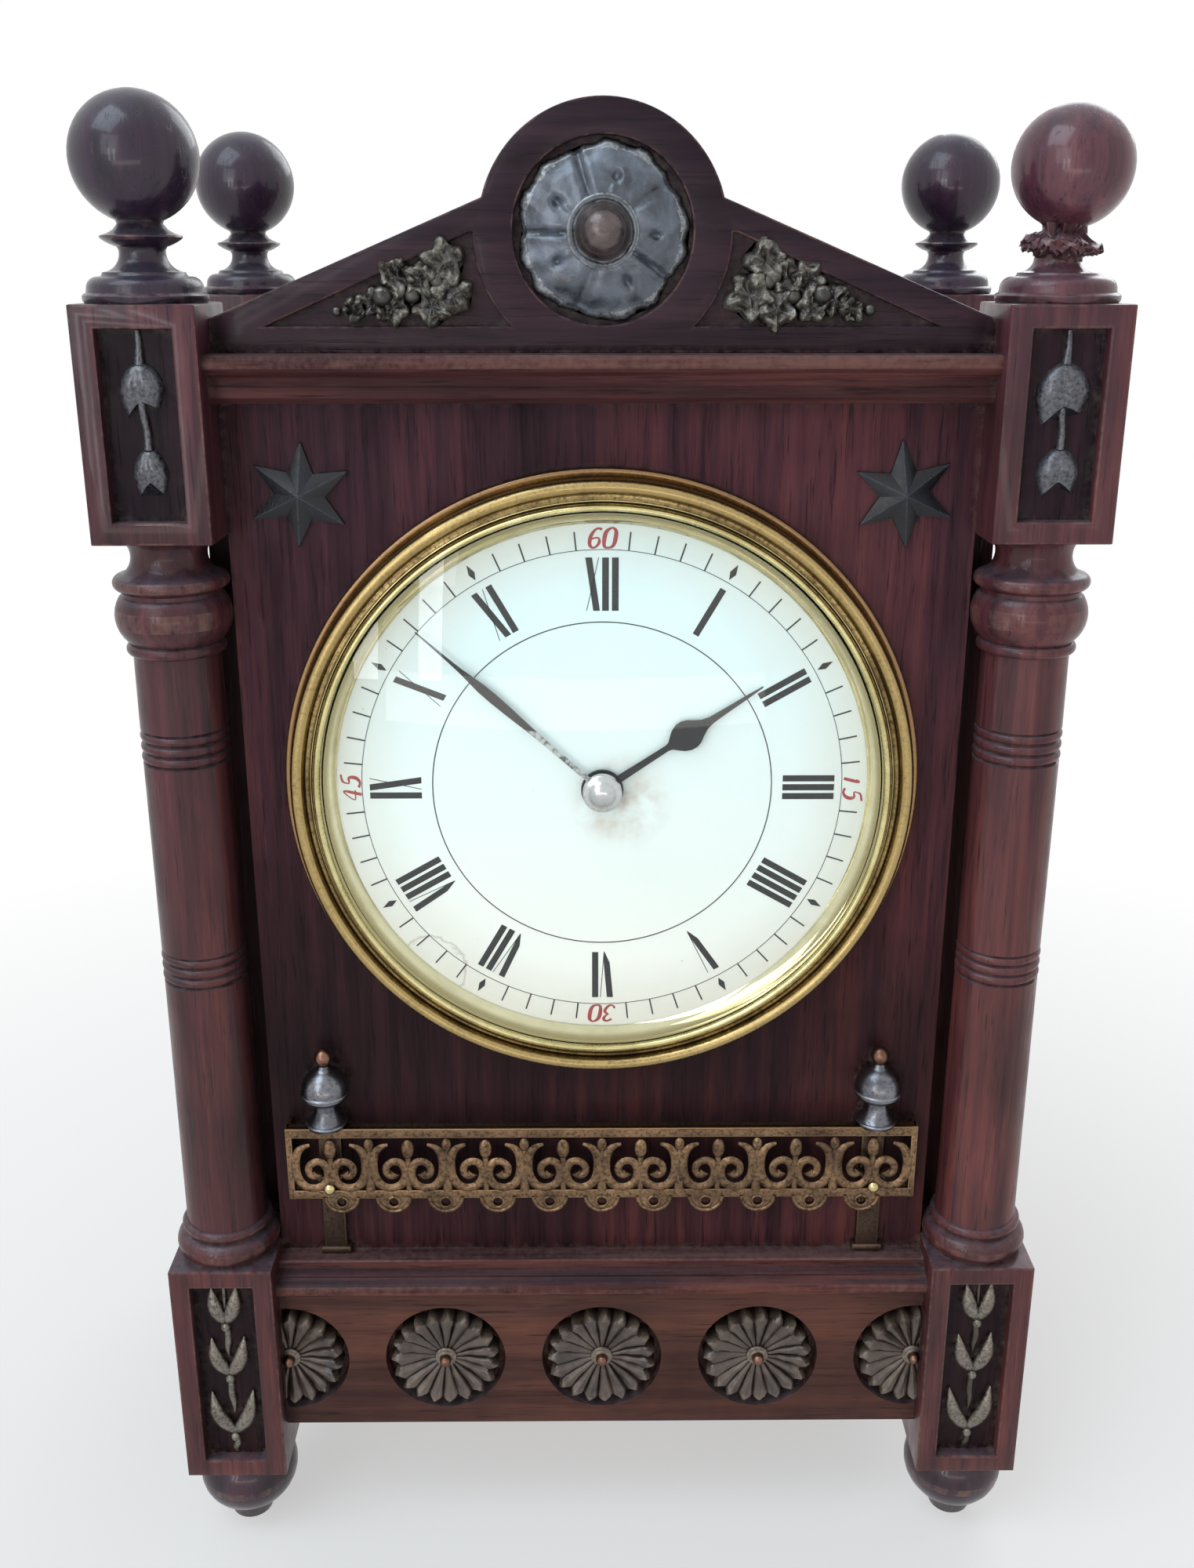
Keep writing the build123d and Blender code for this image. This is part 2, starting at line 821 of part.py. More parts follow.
rosette_z = (case_bottom + plinth_top) / 2
rosette_reach = inner_x - rosette_end_inset
rosette_places = [rosette_reach * (2 * place / (rosette_count - 1) - 1) for place in range(rosette_count)]
plinth_front_y = panel_front_y - plinth_reach
socket_floor_y = plinth_front_y + rosette_socket_depth
with BuildPart() as plinth_rail:
    mouldings([(plinth_reach, case_bottom), (plinth_reach, plinth_top)])
    for x in rosette_places:
        rod(x, rosette_z, rosette_socket_radius, plinth_front_y, socket_floor_y, Mode.SUBTRACT)
write(plinth_rail.part, "plinth_rail")

with BuildPart() as base_moulding:
    bead_top = plinth_top + base_bead_height
    mouldings([
        (base_bead_edge, plinth_top),
        (base_bead_edge, bead_top, base_bead_reach),
        (base_quirk_reach, bead_top),
        (base_quirk_reach, base_tread_top),
        (base_step_reach, base_tread_top),
        (base_step_reach, ledge_top),
    ])
write(base_moulding.part, "base_moulding")

with BuildPart() as cornice_moulding:
    fascia_bottom = cornice_bottom + cornice_foot_height
    fascia_top = fascia_bottom + cornice_fascia_height
    mouldings([
        (cornice_foot_reach, cornice_bottom),
        (cornice_fascia_reach, fascia_bottom),
        (cornice_fascia_reach, fascia_top),
        (cornice_bead_edge, case_top - cornice_bead_height,
         (3 * cornice_fascia_reach + cornice_bead_edge) / 4),
        (cornice_bead_edge, case_top, cornice_reach),
    ])
write(cornice_moulding.part, "cornice_moulding")

# Fluted rosettes in the plinth sockets; the posts cut off the end two
with BuildPart() as plinth_rosettes:
    for x in rosette_places:
        carved(facing(x, rosette_z, socket_floor_y),
               star_outline(rosette_flutes, rosette_radius, rosette_valley_radius),
               rosette_rim, rosette_crown, rosette_crown_share)
        rod(x, rosette_z, rosette_boss_radius,
            socket_floor_y - rosette_rim - rosette_crown - rosette_boss_height, socket_floor_y)
    for side in (-1, 1):
        slab(sorted((side * inner_x, side * (inner_x + 2 * rosette_radius))), (front_y, panel_front_y),
             (case_bottom, plinth_top), Mode.SUBTRACT)
write(plinth_rosettes.part, "plinth_rosettes")

# Pediment board: two slopes and a round arch, with a round recess and two gable recesses
pediment_front_y = front_y + pediment_recess
spring_x, spring_rise = polar(arch_radius, arch_spring_angle, 0, arch_centre_rise)
with BuildPart() as pediment_board:
    with BuildSketch(facing(0, case_top, pediment_front_y + pediment_thick)):
        with BuildLine():
            Polyline((-spring_x, spring_rise), (-inner_x, pediment_end_height), (-inner_x, 0),
                     (inner_x, 0), (inner_x, pediment_end_height), (spring_x, spring_rise))
            ThreePointArc((spring_x, spring_rise), (0, arch_centre_rise + arch_radius),
                          (-spring_x, spring_rise))
        make_face()
    extrude(amount=pediment_thick)
    with BuildSketch(facing(0, case_top, pediment_front_y)):
        with Locations((0, arch_centre_rise)):
            Circle(rosette_recess_radius)
    extrude(amount=-rosette_recess_depth, mode=Mode.SUBTRACT)
    with BuildSketch(facing(0, case_top, pediment_front_y)):
        for side in (-1, 1):
            Polygon((side * (inner_x - gable_tip_inset), gable_foot_rise),
                    (side * gable_top_x, gable_top_rise), (side * gable_inner_x, gable_top_rise),
                    (side * gable_inner_x, gable_foot_rise), align=None)
        with Locations((0, arch_centre_rise)):
            Circle(arch_radius + gable_ring_gap, mode=Mode.SUBTRACT)
    extrude(amount=-gable_recess_depth, mode=Mode.SUBTRACT)
write(pediment_board.part, "pediment_board")

# Pediment rosette with a turned boss
arch_z = case_top + arch_centre_rise
rosette_floor_y = pediment_front_y + rosette_recess_depth
with BuildPart() as pediment_rosette:
    carved(facing(0, arch_z, rosette_floor_y), star_outline(petal_count, petal_radius, petal_valley_radius),
           petal_rim, petal_crown, petal_crown_share)
    boss_front_y = rosette_floor_y - petal_rim - petal_crown - boss_height
    turned([
        (boss_radius, rosette_floor_y),
        (boss_radius, boss_front_y),
        (boss_dome_radius, boss_front_y),
        dome(boss_dome_radius, boss_front_y, -boss_dome_height),
    ], lengthwise(0, arch_z))
write(pediment_rosette.part, "pediment_rosette")

# Carved vine leaf and grapes in each gable recess
gable_floor_y = pediment_front_y + gable_recess_depth
grape_pitch = grape_radius * grape_pitch_share
with BuildPart() as pediment_leaves:
    carved(facing(leaf_x, case_top + leaf_rise, gable_floor_y),
           star_outline(leaf_points, leaf_radius, leaf_valley_radius), leaf_rim, leaf_crown, leaf_crown_share)
    with BuildSketch(facing(0, case_top, gable_floor_y)) as backing:
        Polygon((leaf_x, grape_rise + grape_stalk_width / 2), (grape_x, grape_rise + grape_pitch),
                (grape_x + (grape_rows - 1) * grape_pitch, grape_rise), (grape_x, grape_rise - grape_pitch),
                (leaf_x, grape_rise - grape_stalk_width / 2), align=None)
    extrude(backing.sketch, amount=grape_stalk_thick)
    for column in range(grape_rows):
        for row in range(grape_rows - column):
            rise = grape_rise + (row - (grape_rows - column - 1) / 2) * grape_pitch
            turned([
                (grape_radius, gable_floor_y),
                (grape_radius, gable_floor_y - grape_rim),
                dome(grape_radius, gable_floor_y - grape_rim, -grape_dome),
            ], lengthwise(grape_x + column * grape_pitch, case_top + rise))
    mirror(about=Plane.YZ)
write(pediment_leaves.part, "pediment_leaves")

# Six-pointed stars on the front panel
with BuildPart() as carved_stars:
    star_x, star_z = polar(bezel_radius + star_gap + star_radius, star_angle, *centre)
    for side in (-1, 1):
        carved(facing(side * star_x, star_z, panel_front_y),
               star_outline(star_points_count, star_radius, star_valley_radius),
               star_rim, star_crown, star_crown_share)
write(carved_stars.part, "carved_stars")

# Bellflower drops in the recessed panels of the front posts
husk_side = [(x * husk_width, z * husk_height) for x, z in husk_half_shares]
husk_corners = husk_side + [(-x, z) for x, z in reversed(husk_side[:-1])]
husk_floor_y = front_y + block_panel_depth
with BuildPart() as husk_drops:
    for side in (-1, 1):
        x = side * post_x
        for (low, high), husks in zip(block_limits, (lower_husk_count, upper_husk_count)):
            top = high - block_panel_margin
            first = low + block_panel_margin + husk_height / 2
            pitch = (top - first - husk_height / 2) / husks
            for husk in range(husks):
                carved(facing(x, first + (husk + 1 / 2) * pitch, husk_floor_y), husk_corners,
                       husk_thick, husk_ridge, husk_ridge_share)
            slab((x - stem_width / 2, x + stem_width / 2), (husk_floor_y - husk_thick, husk_floor_y),
                 (first + pitch / 2, top))
write(husk_drops.part, "husk_drops")

# Pierced brass gallery: frame, scrolls and scalloped lower edge, with ends that return to the panel
gallery_rear_y = panel_front_y - gallery_stand_off
gallery_front_y = gallery_rear_y - gallery_thick
gallery_pins_at = [(side * bracket_x, gallery_bottom + pin_lift) for side in (-1, 1)]
module_length = gallery_length / gallery_modules
scroll_radius = module_length * scroll_share
with BuildPart() as gallery_rail:
    with BuildSketch(facing(0, gallery_bottom, gallery_rear_y)):
        middle = gallery_height / 2
        with Locations((0, middle)):
            Rectangle(gallery_length, gallery_height)
            Rectangle(gallery_length - 2 * gallery_border, gallery_height - 2 * gallery_border,
                      mode=Mode.SUBTRACT)
        module_places = [(module - (gallery_modules - 1) / 2) * module_length
                         for module in range(gallery_modules)]
        with Locations([(x, middle) for x in module_places]):
            Circle(scroll_radius)
            Circle(scroll_radius - gallery_bar, mode=Mode.SUBTRACT)
            Circle(scroll_radius * bud_share)
        for x in module_places:
            bar((x - module_length / 2, middle), (x + module_length / 2, middle), gallery_bar)
            bar((x, 0), (x, gallery_height), gallery_bar)
        for x in module_places[1:]:
            bar((x - module_length / 2, 0), (x - module_length / 2, gallery_height), gallery_bar)
        lobe_spacing = gallery_length / (lobe_count + 1)
        for lobe in range(lobe_count):
            with Locations(((lobe - (lobe_count - 1) / 2) * lobe_spacing, lobe_radius - lobe_drop)):
                Circle(lobe_radius)
                Circle(lobe_hole_radius, mode=Mode.SUBTRACT)
    extrude(amount=gallery_thick)
    for side in (-1, 1):
        slab(sorted((side * gallery_length / 2, side * (gallery_length / 2 - gallery_thick))),
             (gallery_front_y, panel_front_y), (gallery_bottom, gallery_top))
    for x, z in gallery_pins_at:
        rod(x, z, pin_radius + fixed_gap, gallery_front_y, gallery_rear_y, Mode.SUBTRACT)
write(gallery_rail.part, "gallery_rail")

# Brackets that stand on the ledge and carry the gallery and its urns
with BuildPart() as gallery_brackets:
    for x, z in gallery_pins_at:
        half = bracket_width / 2
        slab((x - half, x + half), (panel_front_y - bracket_foot_depth, panel_front_y),
             (ledge_top, gallery_top))
        slab((x - half, x + half), (gallery_rear_y, panel_front_y),
             (gallery_bottom, gallery_bottom + 2 * pin_lift))
        slab((x - bracket_head_width / 2, x + bracket_head_width / 2), (gallery_rear_y, panel_front_y),
             (gallery_top - bracket_head_height, gallery_top))
        rod(x, z, pin_radius + fixed_gap, gallery_rear_y, panel_front_y, Mode.SUBTRACT)
write(gallery_brackets.part, "gallery_brackets")

with BuildPart() as gallery_pins:
    for x, z in gallery_pins_at:
        rod(x, z, pin_radius, gallery_front_y, panel_front_y)
        rod(x, z, pin_head_radius, gallery_front_y - pin_head_height, gallery_front_y)
write(gallery_pins.part, "gallery_pins")

# Urns on the gallery's bracket heads
urn_neck_bottom = gallery_top + urn_foot_height
urn_body_bottom = urn_neck_bottom + urn_neck_height
urn_throat_bottom = urn_body_bottom + urn_body_height
urn_ball_bottom = urn_throat_bottom + urn_throat_height
urn_ball_centre = urn_ball_bottom + sqrt(urn_ball_radius ** 2 - urn_throat_radius ** 2)
urn_stations = [
    (urn_foot_radius, gallery_top),
    (urn_foot_radius, urn_neck_bottom),
    (urn_neck_radius, urn_body_bottom, (urn_foot_radius + 3 * urn_neck_radius) / 4),
    (urn_throat_radius, urn_throat_bottom, urn_body_radius),
    (urn_throat_radius, urn_ball_bottom),
    (0, urn_ball_centre + urn_ball_radius, urn_ball_radius, urn_ball_centre),
]
with BuildPart() as gallery_urns:
    for side in (-1, 1):
        turned(urn_stations, upright(side * bracket_x, gallery_rear_y))
write(gallery_urns.part, "gallery_urns")

# Bezel with its seat for the glass
lip_front_y = panel_front_y - bezel_lip_height
glass_seat_y = lip_front_y + bezel_lip_thick
with BuildPart() as bezel:
    step_y = panel_front_y - bezel_step_height
    groove_y = panel_front_y - bezel_groove_height
    turned([
        (bezel_radius, panel_front_y),
        (bezel_radius, step_y),
        (bezel_step_radius, step_y),
        (bezel_step_radius, groove_y),
        (bezel_groove_radius, groove_y, (bezel_step_radius + bezel_groove_radius) / 2,
         panel_front_y - bezel_torus_height),
        (glass_seat_radius, lip_front_y),
        (sight_radius, lip_front_y),
    ], lengthwise(*centre), bore=sight_radius)
    rod(*centre, glass_seat_radius, glass_seat_y, panel_front_y, Mode.SUBTRACT)
write(bezel.part, "bezel")

# Domed glass
glass_edge_y = glass_seat_y + glass_edge_drop
with BuildPart() as glass:
    glass_rear_y = glass_edge_y + glass_thick
    turned([(dial_radius, glass_rear_y), (dial_radius, glass_edge_y),
            dome(dial_radius, glass_edge_y, -glass_rise)], lengthwise(*centre))
    turned([(dial_radius, glass_rear_y), dome(dial_radius, glass_rear_y, -glass_rise)],
           lengthwise(*centre), mode=Mode.SUBTRACT)
write(glass.part, "glass")

# Enamel dial on feet that pass through the front plate
dial_feet = [polar(dial_foot_ring, angle, *centre) for angle in dial_foot_angles]
with BuildPart() as dial:
    rod(*centre, dial_radius, dial_front_y, panel_front_y)
    for x, z in dial_feet:
        rod(x, z, dial_foot_radius, panel_front_y, plate_rear_y)
    rod(*centre, dial_hole_radius, dial_front_y, panel_front_y, Mode.SUBTRACT)
write(dial.part, "dial")


def hand(length, width, shares, angle, hub_radius, bore, rear_y):
    """Flat hand that points at an angle in degrees clockwise from twelve."""
    turn = radians(angle)
    plane = Plane(origin=(centre[0], rear_y, centre[1]), x_dir=(sin(turn), 0, cos(turn)), z_dir=(0, -1, 0))
    side = [(length * along, width * across) for along, across in shares]
    with BuildSketch(plane) as blade:
        Polygon(*side, *[(along, -across) for along, across in reversed(side)], align=None)
        Circle(hub_radius)
        Circle(bore, mode=Mode.SUBTRACT)
    extrude(blade.sketch, amount=hand_thick)


# Hands and their nut
hour_pipe_bore = cannon_pipe_radius + running_gap
hour_pipe_radius = hour_pipe_bore + hour_pipe_wall
hour_hand_y = dial_front_y - hour_hand_lift
minute_hand_y = dial_front_y - minute_hand_lift
minute_hand_front_y = minute_hand_y - hand_thick
nut_front_y = minute_hand_front_y - nut_height
thread_tip_y = minute_hand_front_y - nut_height / 2
with BuildPart() as hour_hand:
    hand(sight_radius - hour_hand_inset, hour_bulge_width, hour_hand_shares, hour_hand_angle, hour_hub_radius,
         hour_pipe_radius + fixed_gap, hour_hand_y)
write(hour_hand.part, "hour_hand")
with BuildPart() as minute_hand:
    hand(sight_radius - minute_hand_inset, minute_bulge_width, minute_hand_shares, minute_hand_angle,
         minute_hub_radius, cannon_pipe_radius + fixed_gap, minute_hand_y)
write(minute_hand.part, "minute_hand")
with BuildPart() as hand_nut:
    nut_edge_y = minute_hand_front_y - nut_height * nut_dome_share
    turned([
        (nut_radius, minute_hand_front_y),
        (nut_radius, nut_edge_y),
        dome(nut_radius, nut_edge_y, nut_front_y - nut_edge_y),
    ], lengthwise(*centre))
    rod(*centre, thread_radius + fixed_gap, thread_tip_y - fixed_gap, minute_hand_front_y, Mode.SUBTRACT)
write(hand_nut.part, "hand_nut")

# Motion work between the dial and the front plate
minute_wheel_rear_y = plate_front_y - motion_gap
minute_wheel_front_y = minute_wheel_rear_y - motion_wheel_thick
hour_wheel_front_y = panel_front_y + motion_gap
hour_wheel_rear_y = hour_wheel_front_y + motion_wheel_thick
cannon_front_y = minute_wheel_front_y - motion_gap
to_minute_wheel = direction(centre, minute_wheel_at)
with BuildPart() as cannon_pinion:
    toothed(facing(*centre, minute_wheel_rear_y), cannon_leaves, minute_module, leaf_tooth_shares,
            to_minute_wheel + pi / cannon_leaves, minute_wheel_rear_y - cannon_front_y)
    rod(*centre, cannon_pipe_radius, minute_hand_front_y, minute_wheel_rear_y)
    rod(*centre, centre_arbor_radius + fixed_gap, minute_hand_front_y, minute_wheel_rear_y, Mode.SUBTRACT)
write(cannon_pinion.part, "cannon_pinion")
with BuildPart() as minute_wheel:
    wheel_plane = facing(*minute_wheel_at, minute_wheel_rear_y)
    toothed(wheel_plane, minute_wheel_teeth, minute_module, wheel_tooth_shares, to_minute_wheel + pi,
            motion_wheel_thick)
    crossings(wheel_plane, minute_module * minute_wheel_teeth / 2, motion_wheel_thick)
    toothed(facing(*minute_wheel_at, minute_wheel_front_y), minute_leaves, hour_module, leaf_tooth_shares,
            to_minute_wheel + pi + pi / minute_leaves, minute_wheel_front_y - hour_wheel_front_y)
    rod(*minute_wheel_at, stud_radius + running_gap, hour_wheel_front_y, minute_wheel_rear_y, Mode.SUBTRACT)
write(minute_wheel.part, "minute_wheel")
with BuildPart() as hour_wheel:
    toothed(facing(*centre, hour_wheel_rear_y), hour_teeth, hour_module, wheel_tooth_shares,
            to_minute_wheel, motion_wheel_thick)
    crossings(facing(*centre, hour_wheel_rear_y), hour_module * hour_teeth / 2, motion_wheel_thick)
    rod(*centre, hour_pipe_radius, hour_hand_y - hand_thick, hour_wheel_rear_y)
    rod(*centre, hour_pipe_bore, hour_hand_y - hand_thick, hour_wheel_rear_y, Mode.SUBTRACT)
write(hour_wheel.part, "hour_wheel")

# Centre arbor: it carries the hands, and the knob behind sets them
knob_front_y = back_plate_rear_y + knob_stand_off
with BuildPart() as centre_arbor:
    rod(*centre, thread_radius, thread_tip_y, minute_hand_front_y)
    rod(*centre, centre_arbor_radius, minute_hand_front_y, knob_front_y)
    rod(*centre, knob_radius, knob_front_y, knob_front_y + knob_height)
write(centre_arbor.part, "centre_arbor")

# Movement plates and pillars
pivots = (third_at, fourth_at, escape_at, lever_at, balance_at)
pillars = [polar(pillar_ring, angle, *centre) for angle in pillar_angles]


def plate_holes(near_y, far_y):
    """Holes that both plates share: pivots, winding arbor, centre arbor and pillar rivets."""
    for x, z in pivots:
        rod(x, z, pivot_radius + running_gap, near_y, far_y, Mode.SUBTRACT)
    for x, z in pillars:
        rod(x, z, pillar_rivet_radius + fixed_gap, near_y, far_y, Mode.SUBTRACT)
    rod(*barrel_at, winding_radius + running_gap, near_y, far_y, Mode.SUBTRACT)
    rod(*centre, centre_arbor_radius + running_gap, near_y, far_y, Mode.SUBTRACT)


with BuildPart() as front_plate:
    rod(*centre, front_plate_radius, plate_front_y, plate_rear_y)
    plate_holes(plate_front_y, plate_rear_y)
    for x, z in dial_feet:
        rod(x, z, dial_foot_radius + fixed_gap, plate_front_y, plate_rear_y, Mode.SUBTRACT)
    for x, z in plate_screws:
        rod(x, z, screw_radius + fixed_gap, plate_front_y, plate_rear_y, Mode.SUBTRACT)
    rod(*minute_wheel_at, stud_radius, hour_wheel_front_y, plate_front_y)
write(front_plate.part, "front_plate")

click_line = ratchet_radius + ratchet_clearance
click_at = (barrel_at[0] + click_reach, barrel_at[1] + click_line + click_width / 2)
ratchet_front_y = back_plate_rear_y + free_gap
ratchet_rear_y = ratchet_front_y + ratchet_thick
with BuildPart() as back_plate:
    rod(*centre, back_plate_radius, back_plate_y, back_plate_rear_y)
    plate_holes(back_plate_y, back_plate_rear_y)
    rod(*click_at, click_pin_radius, back_plate_rear_y, ratchet_rear_y)
write(back_plate.part, "back_plate")

with BuildPart() as plate_pillars:
    for x, z in pillars:
        rod(x, z, pillar_radius, plate_rear_y, back_plate_y)
        rod(x, z, pillar_rivet_radius, plate_front_y - pillar_rivet_height,
            back_plate_rear_y + pillar_rivet_height)
write(plate_pillars.part, "plate_pillars")

# Seat ring behind the panel, and the screws that hold it to the panel and to the front plate
with BuildPart() as seat_ring:
    rod(*centre, seat_ring_radius, panel_rear_y, seat_rear_y)
    rod(*centre, seat_ring_bore, panel_rear_y, seat_rear_y, Mode.SUBTRACT)
    for x, z in plate_screws + panel_screws:
        rod(x, z, screw_radius + fixed_gap, panel_rear_y, seat_rear_y, Mode.SUBTRACT)
write(seat_ring.part, "seat_ring")
with BuildPart() as movement_screws:
    for places, tip_y in ((plate_screws, plate_front_y), (panel_screws, screw_tip_y)):
        for x, z in places:
            rod(x, z, screw_radius, tip_y, seat_rear_y)
            rod(x, z, screw_head_radius, seat_rear_y, seat_rear_y + screw_head_height)
write(movement_screws.part, "movement_screws")


def level(depth):
    """Y place at a depth behind the front plate."""
    return plate_rear_y + depth


def train_arbor(at):
    """Plain arbor between the plates with a pivot at each end."""
    rod(*at, arbor_radius, level(free_gap), level(plate_gap - free_gap))
    rod(*at, pivot_radius, plate_front_y, back_plate_rear_y)


# Spring barrel with its great wheel
barrel_rear = barrel_level + barrel_depth
great_wheel_level = barrel_rear - barrel_wheel_thick
with BuildPart() as barrel:
    rod(*barrel_at, barrel_drum_radius, level(barrel_level), level(barrel_rear))
    toothed(facing(*barrel_at, level(barrel_rear)), barrel_teeth, barrel_module, wheel_tooth_shares,
            direction(barrel_at, centre), barrel_wheel_thick)
    rod(*barrel_at, barrel_drum_radius - barrel_wall, level(barrel_level + barrel_wall),
        level(barrel_rear - barrel_wall), Mode.SUBTRACT)
    rod(*barrel_at, winding_radius + running_gap, level(barrel_level), level(barrel_rear), Mode.SUBTRACT)
write(barrel.part, "barrel")

cavity_front = barrel_level + barrel_wall + free_gap
cavity_rear = barrel_rear - barrel_wall - free_gap
spring_inner = core_radius + free_gap + spring_thick
spring_outer = barrel_drum_radius - barrel_wall - spring_outer_gap
with BuildPart() as mainspring:
    strip = spiral(facing(*barrel_at, level(cavity_rear)), spring_inner,
                   (spring_outer - spring_inner) / (spring_turns + 1 / 2), spring_turns, spring_thick)
    extrude(strip, amount=cavity_rear - cavity_front)
write(mainspring.part, "mainspring")

# Winding arbor, ratchet wheel and click
with BuildPart() as winding_arbor:
    rod(*barrel_at, winding_radius, plate_front_y, back_plate_rear_y)
    rod(*barrel_at, core_radius, level(cavity_front), level(cavity_rear))
    with BuildSketch(facing(*barrel_at, ratchet_rear_y + winding_square_length)):
        Rectangle(winding_square, winding_square)
    extrude(amount=ratchet_rear_y + winding_square_length - back_plate_rear_y)
write(winding_arbor.part, "winding_arbor")


def saw_outline(teeth, tip, root):
    """Corners of a saw-toothed wheel: each tooth rises slowly and drops straight."""
    corners = []
    for tooth in range(teeth):
        angle = 2 * pi * tooth / teeth
        corners.append((root * cos(angle), root * sin(angle)))
        corners.append((tip * cos(angle), tip * sin(angle)))
    return corners


with BuildPart() as ratchet_wheel:
    with BuildSketch(facing(*barrel_at, ratchet_rear_y)):
        Polygon(*saw_outline(ratchet_teeth, ratchet_radius, ratchet_root_radius), align=None)
        Rectangle(winding_square + 2 * fixed_gap, winding_square + 2 * fixed_gap, mode=Mode.SUBTRACT)
    extrude(amount=ratchet_thick)
write(ratchet_wheel.part, "ratchet_wheel")
with BuildPart() as click:
    with BuildSketch(facing(*click_at, ratchet_rear_y)):
        Circle(click_boss_radius)
        bar((0, 0), (-click_reach, 0), click_width)
        Circle(click_pin_radius + running_gap, mode=Mode.SUBTRACT)
    extrude(amount=ratchet_thick)
write(click.part, "click")


def wheel_and_pinion(at, wheel, wheel_level, thick, wheel_phase,
                     pinion, pinion_level, pinion_depth, pinion_phase):
    """Wheel and pinion on one arbor; wheel and pinion are each teeth and module."""
    plane = facing(*at, level(wheel_level + thick))
    toothed(plane, *wheel, wheel_tooth_shares, wheel_phase, thick)
    crossings(plane, wheel[0] * wheel[1] / 2, thick)
    toothed(facing(*at, level(pinion_level + pinion_depth)), *pinion, leaf_tooth_shares,
            pinion_phase, pinion_depth)


# Going train
pinion_depth = wheel_thick + 2 * wheel_lead
with BuildPart() as centre_wheel:
    wheel_and_pinion(centre, (centre_teeth, centre_module), centre_wheel_level, wheel_thick,
                     direction(centre, third_at), (centre_leaves, barrel_module),
                     great_wheel_level - barrel_lead, barrel_wheel_thick + 2 * barrel_lead,
                     direction(centre, barrel_at) + pi / centre_leaves)
    rod(*centre, centre_pipe_radius, level(free_gap), level(plate_gap - free_gap))
    rod(*centre, centre_arbor_radius + running_gap, level(free_gap), level(plate_gap - free_gap),
        Mode.SUBTRACT)
write(centre_wheel.part, "centre_wheel")
with BuildPart() as third_wheel:
    wheel_and_pinion(third_at, (third_teeth, third_module), third_wheel_level, wheel_thick,
                     direction(third_at, fourth_at), (third_leaves, centre_module),
                     centre_wheel_level - wheel_lead, pinion_depth,
                     direction(third_at, centre) + pi / third_leaves)
    train_arbor(third_at)
write(third_wheel.part, "third_wheel")
with BuildPart() as fourth_wheel:
    wheel_and_pinion(fourth_at, (fourth_teeth, fourth_module), fourth_wheel_level, wheel_thick,
                     direction(fourth_at, escape_at), (fourth_leaves, third_module),
                     third_wheel_level - wheel_lead, pinion_depth,
                     direction(fourth_at, third_at) + pi / fourth_leaves)
    train_arbor(fourth_at)
write(fourth_wheel.part, "fourth_wheel")
with BuildPart() as escape_wheel:
    with BuildSketch(facing(*escape_at, level(escape_wheel_level + lever_thick))):
        Polygon(*saw_outline(escape_teeth, escape_radius, escape_root_radius), align=None)
    extrude(amount=lever_thick)
    toothed(facing(*escape_at, level(fourth_wheel_level - wheel_lead + pinion_depth)),
            escape_leaves, fourth_module, leaf_tooth_shares,
            direction(escape_at, fourth_at) + pi / escape_leaves, pinion_depth)
    train_arbor(escape_at)
write(escape_wheel.part, "escape_wheel")

# Pallet lever: its plane runs along the line from the escape wheel to the balance
lever_turn = radians(lever_angle)
lever_plane = Plane(origin=(lever_at[0], level(escape_wheel_level + lever_thick), lever_at[1]),
                    x_dir=(cos(lever_turn), 0, sin(lever_turn)), z_dir=(0, -1, 0))
fork_tip = balance_distance - roller_radius - fork_gap
with BuildPart() as pallet_lever:
    with BuildSketch(lever_plane):
        bar((0, 0), (fork_tip, 0), lever_width)
        with Locations((fork_tip - fork_notch_depth, 0)):
            Rectangle(2 * fork_notch_depth, fork_width)
        with Locations((fork_tip, 0)):
            Rectangle(2 * fork_notch_depth, fork_notch_width, mode=Mode.SUBTRACT)
        for side in (-1, 1):
            pallet = polar(escape_radius + pallet_gap + pallet_width / 2, side * pallet_angle,
                           -lever_distance, 0)
            bar((0, 0), pallet, pallet_width)
        Circle(lever_width)
    extrude(amount=lever_thick)
    train_arbor(lever_at)
write(pallet_lever.part, "pallet_lever")

# Balance wheel and hairspring
hairspring_level = balance_level - hairspring_drop
with BuildPart() as balance_wheel:
    with BuildSketch(facing(*balance_at, level(balance_level + balance_thick))):
        Circle(balance_radius)
        Circle(balance_radius - balance_rim, mode=Mode.SUBTRACT)
        bar((-balance_radius + balance_rim / 2, 0), (balance_radius - balance_rim / 2, 0), balance_arm_width)
        Circle(balance_hub_radius)
    extrude(amount=balance_thick)
    train_arbor(balance_at)
    rod(*balance_at, roller_radius, level(escape_wheel_level), level(escape_wheel_level + roller_thick))
    rod(*balance_at, hairspring_inner_radius - hairspring_thick / 2,
        level(hairspring_level), level(hairspring_level + hairspring_height))
write(balance_wheel.part, "balance_wheel")
with BuildPart() as hairspring:
    strip = spiral(facing(*balance_at, level(hairspring_level + hairspring_height)), hairspring_inner_radius,
                   (hairspring_radius - hairspring_inner_radius) / hairspring_turns, hairspring_turns,
                   hairspring_thick)
    extrude(strip, amount=hairspring_height)
write(hairspring.part, "hairspring")

# Back door
with BuildPart() as back_door:
    slab((-door_edge, door_edge), (back_front_y, back_rear_y), (door_bottom, door_top))
write(back_door.part, "back_door")

# Butt hinges: the frame's leaves hold the pins and the end knuckles, the door's leaves the middle one
hinge_x = door_edge + door_gap / 2
hinge_y = back_rear_y + knuckle_radius
knuckle_height = hinge_height / knuckle_count
hinge_bottoms = (door_bottom + hinge_inset, door_top - hinge_inset - hinge_height)


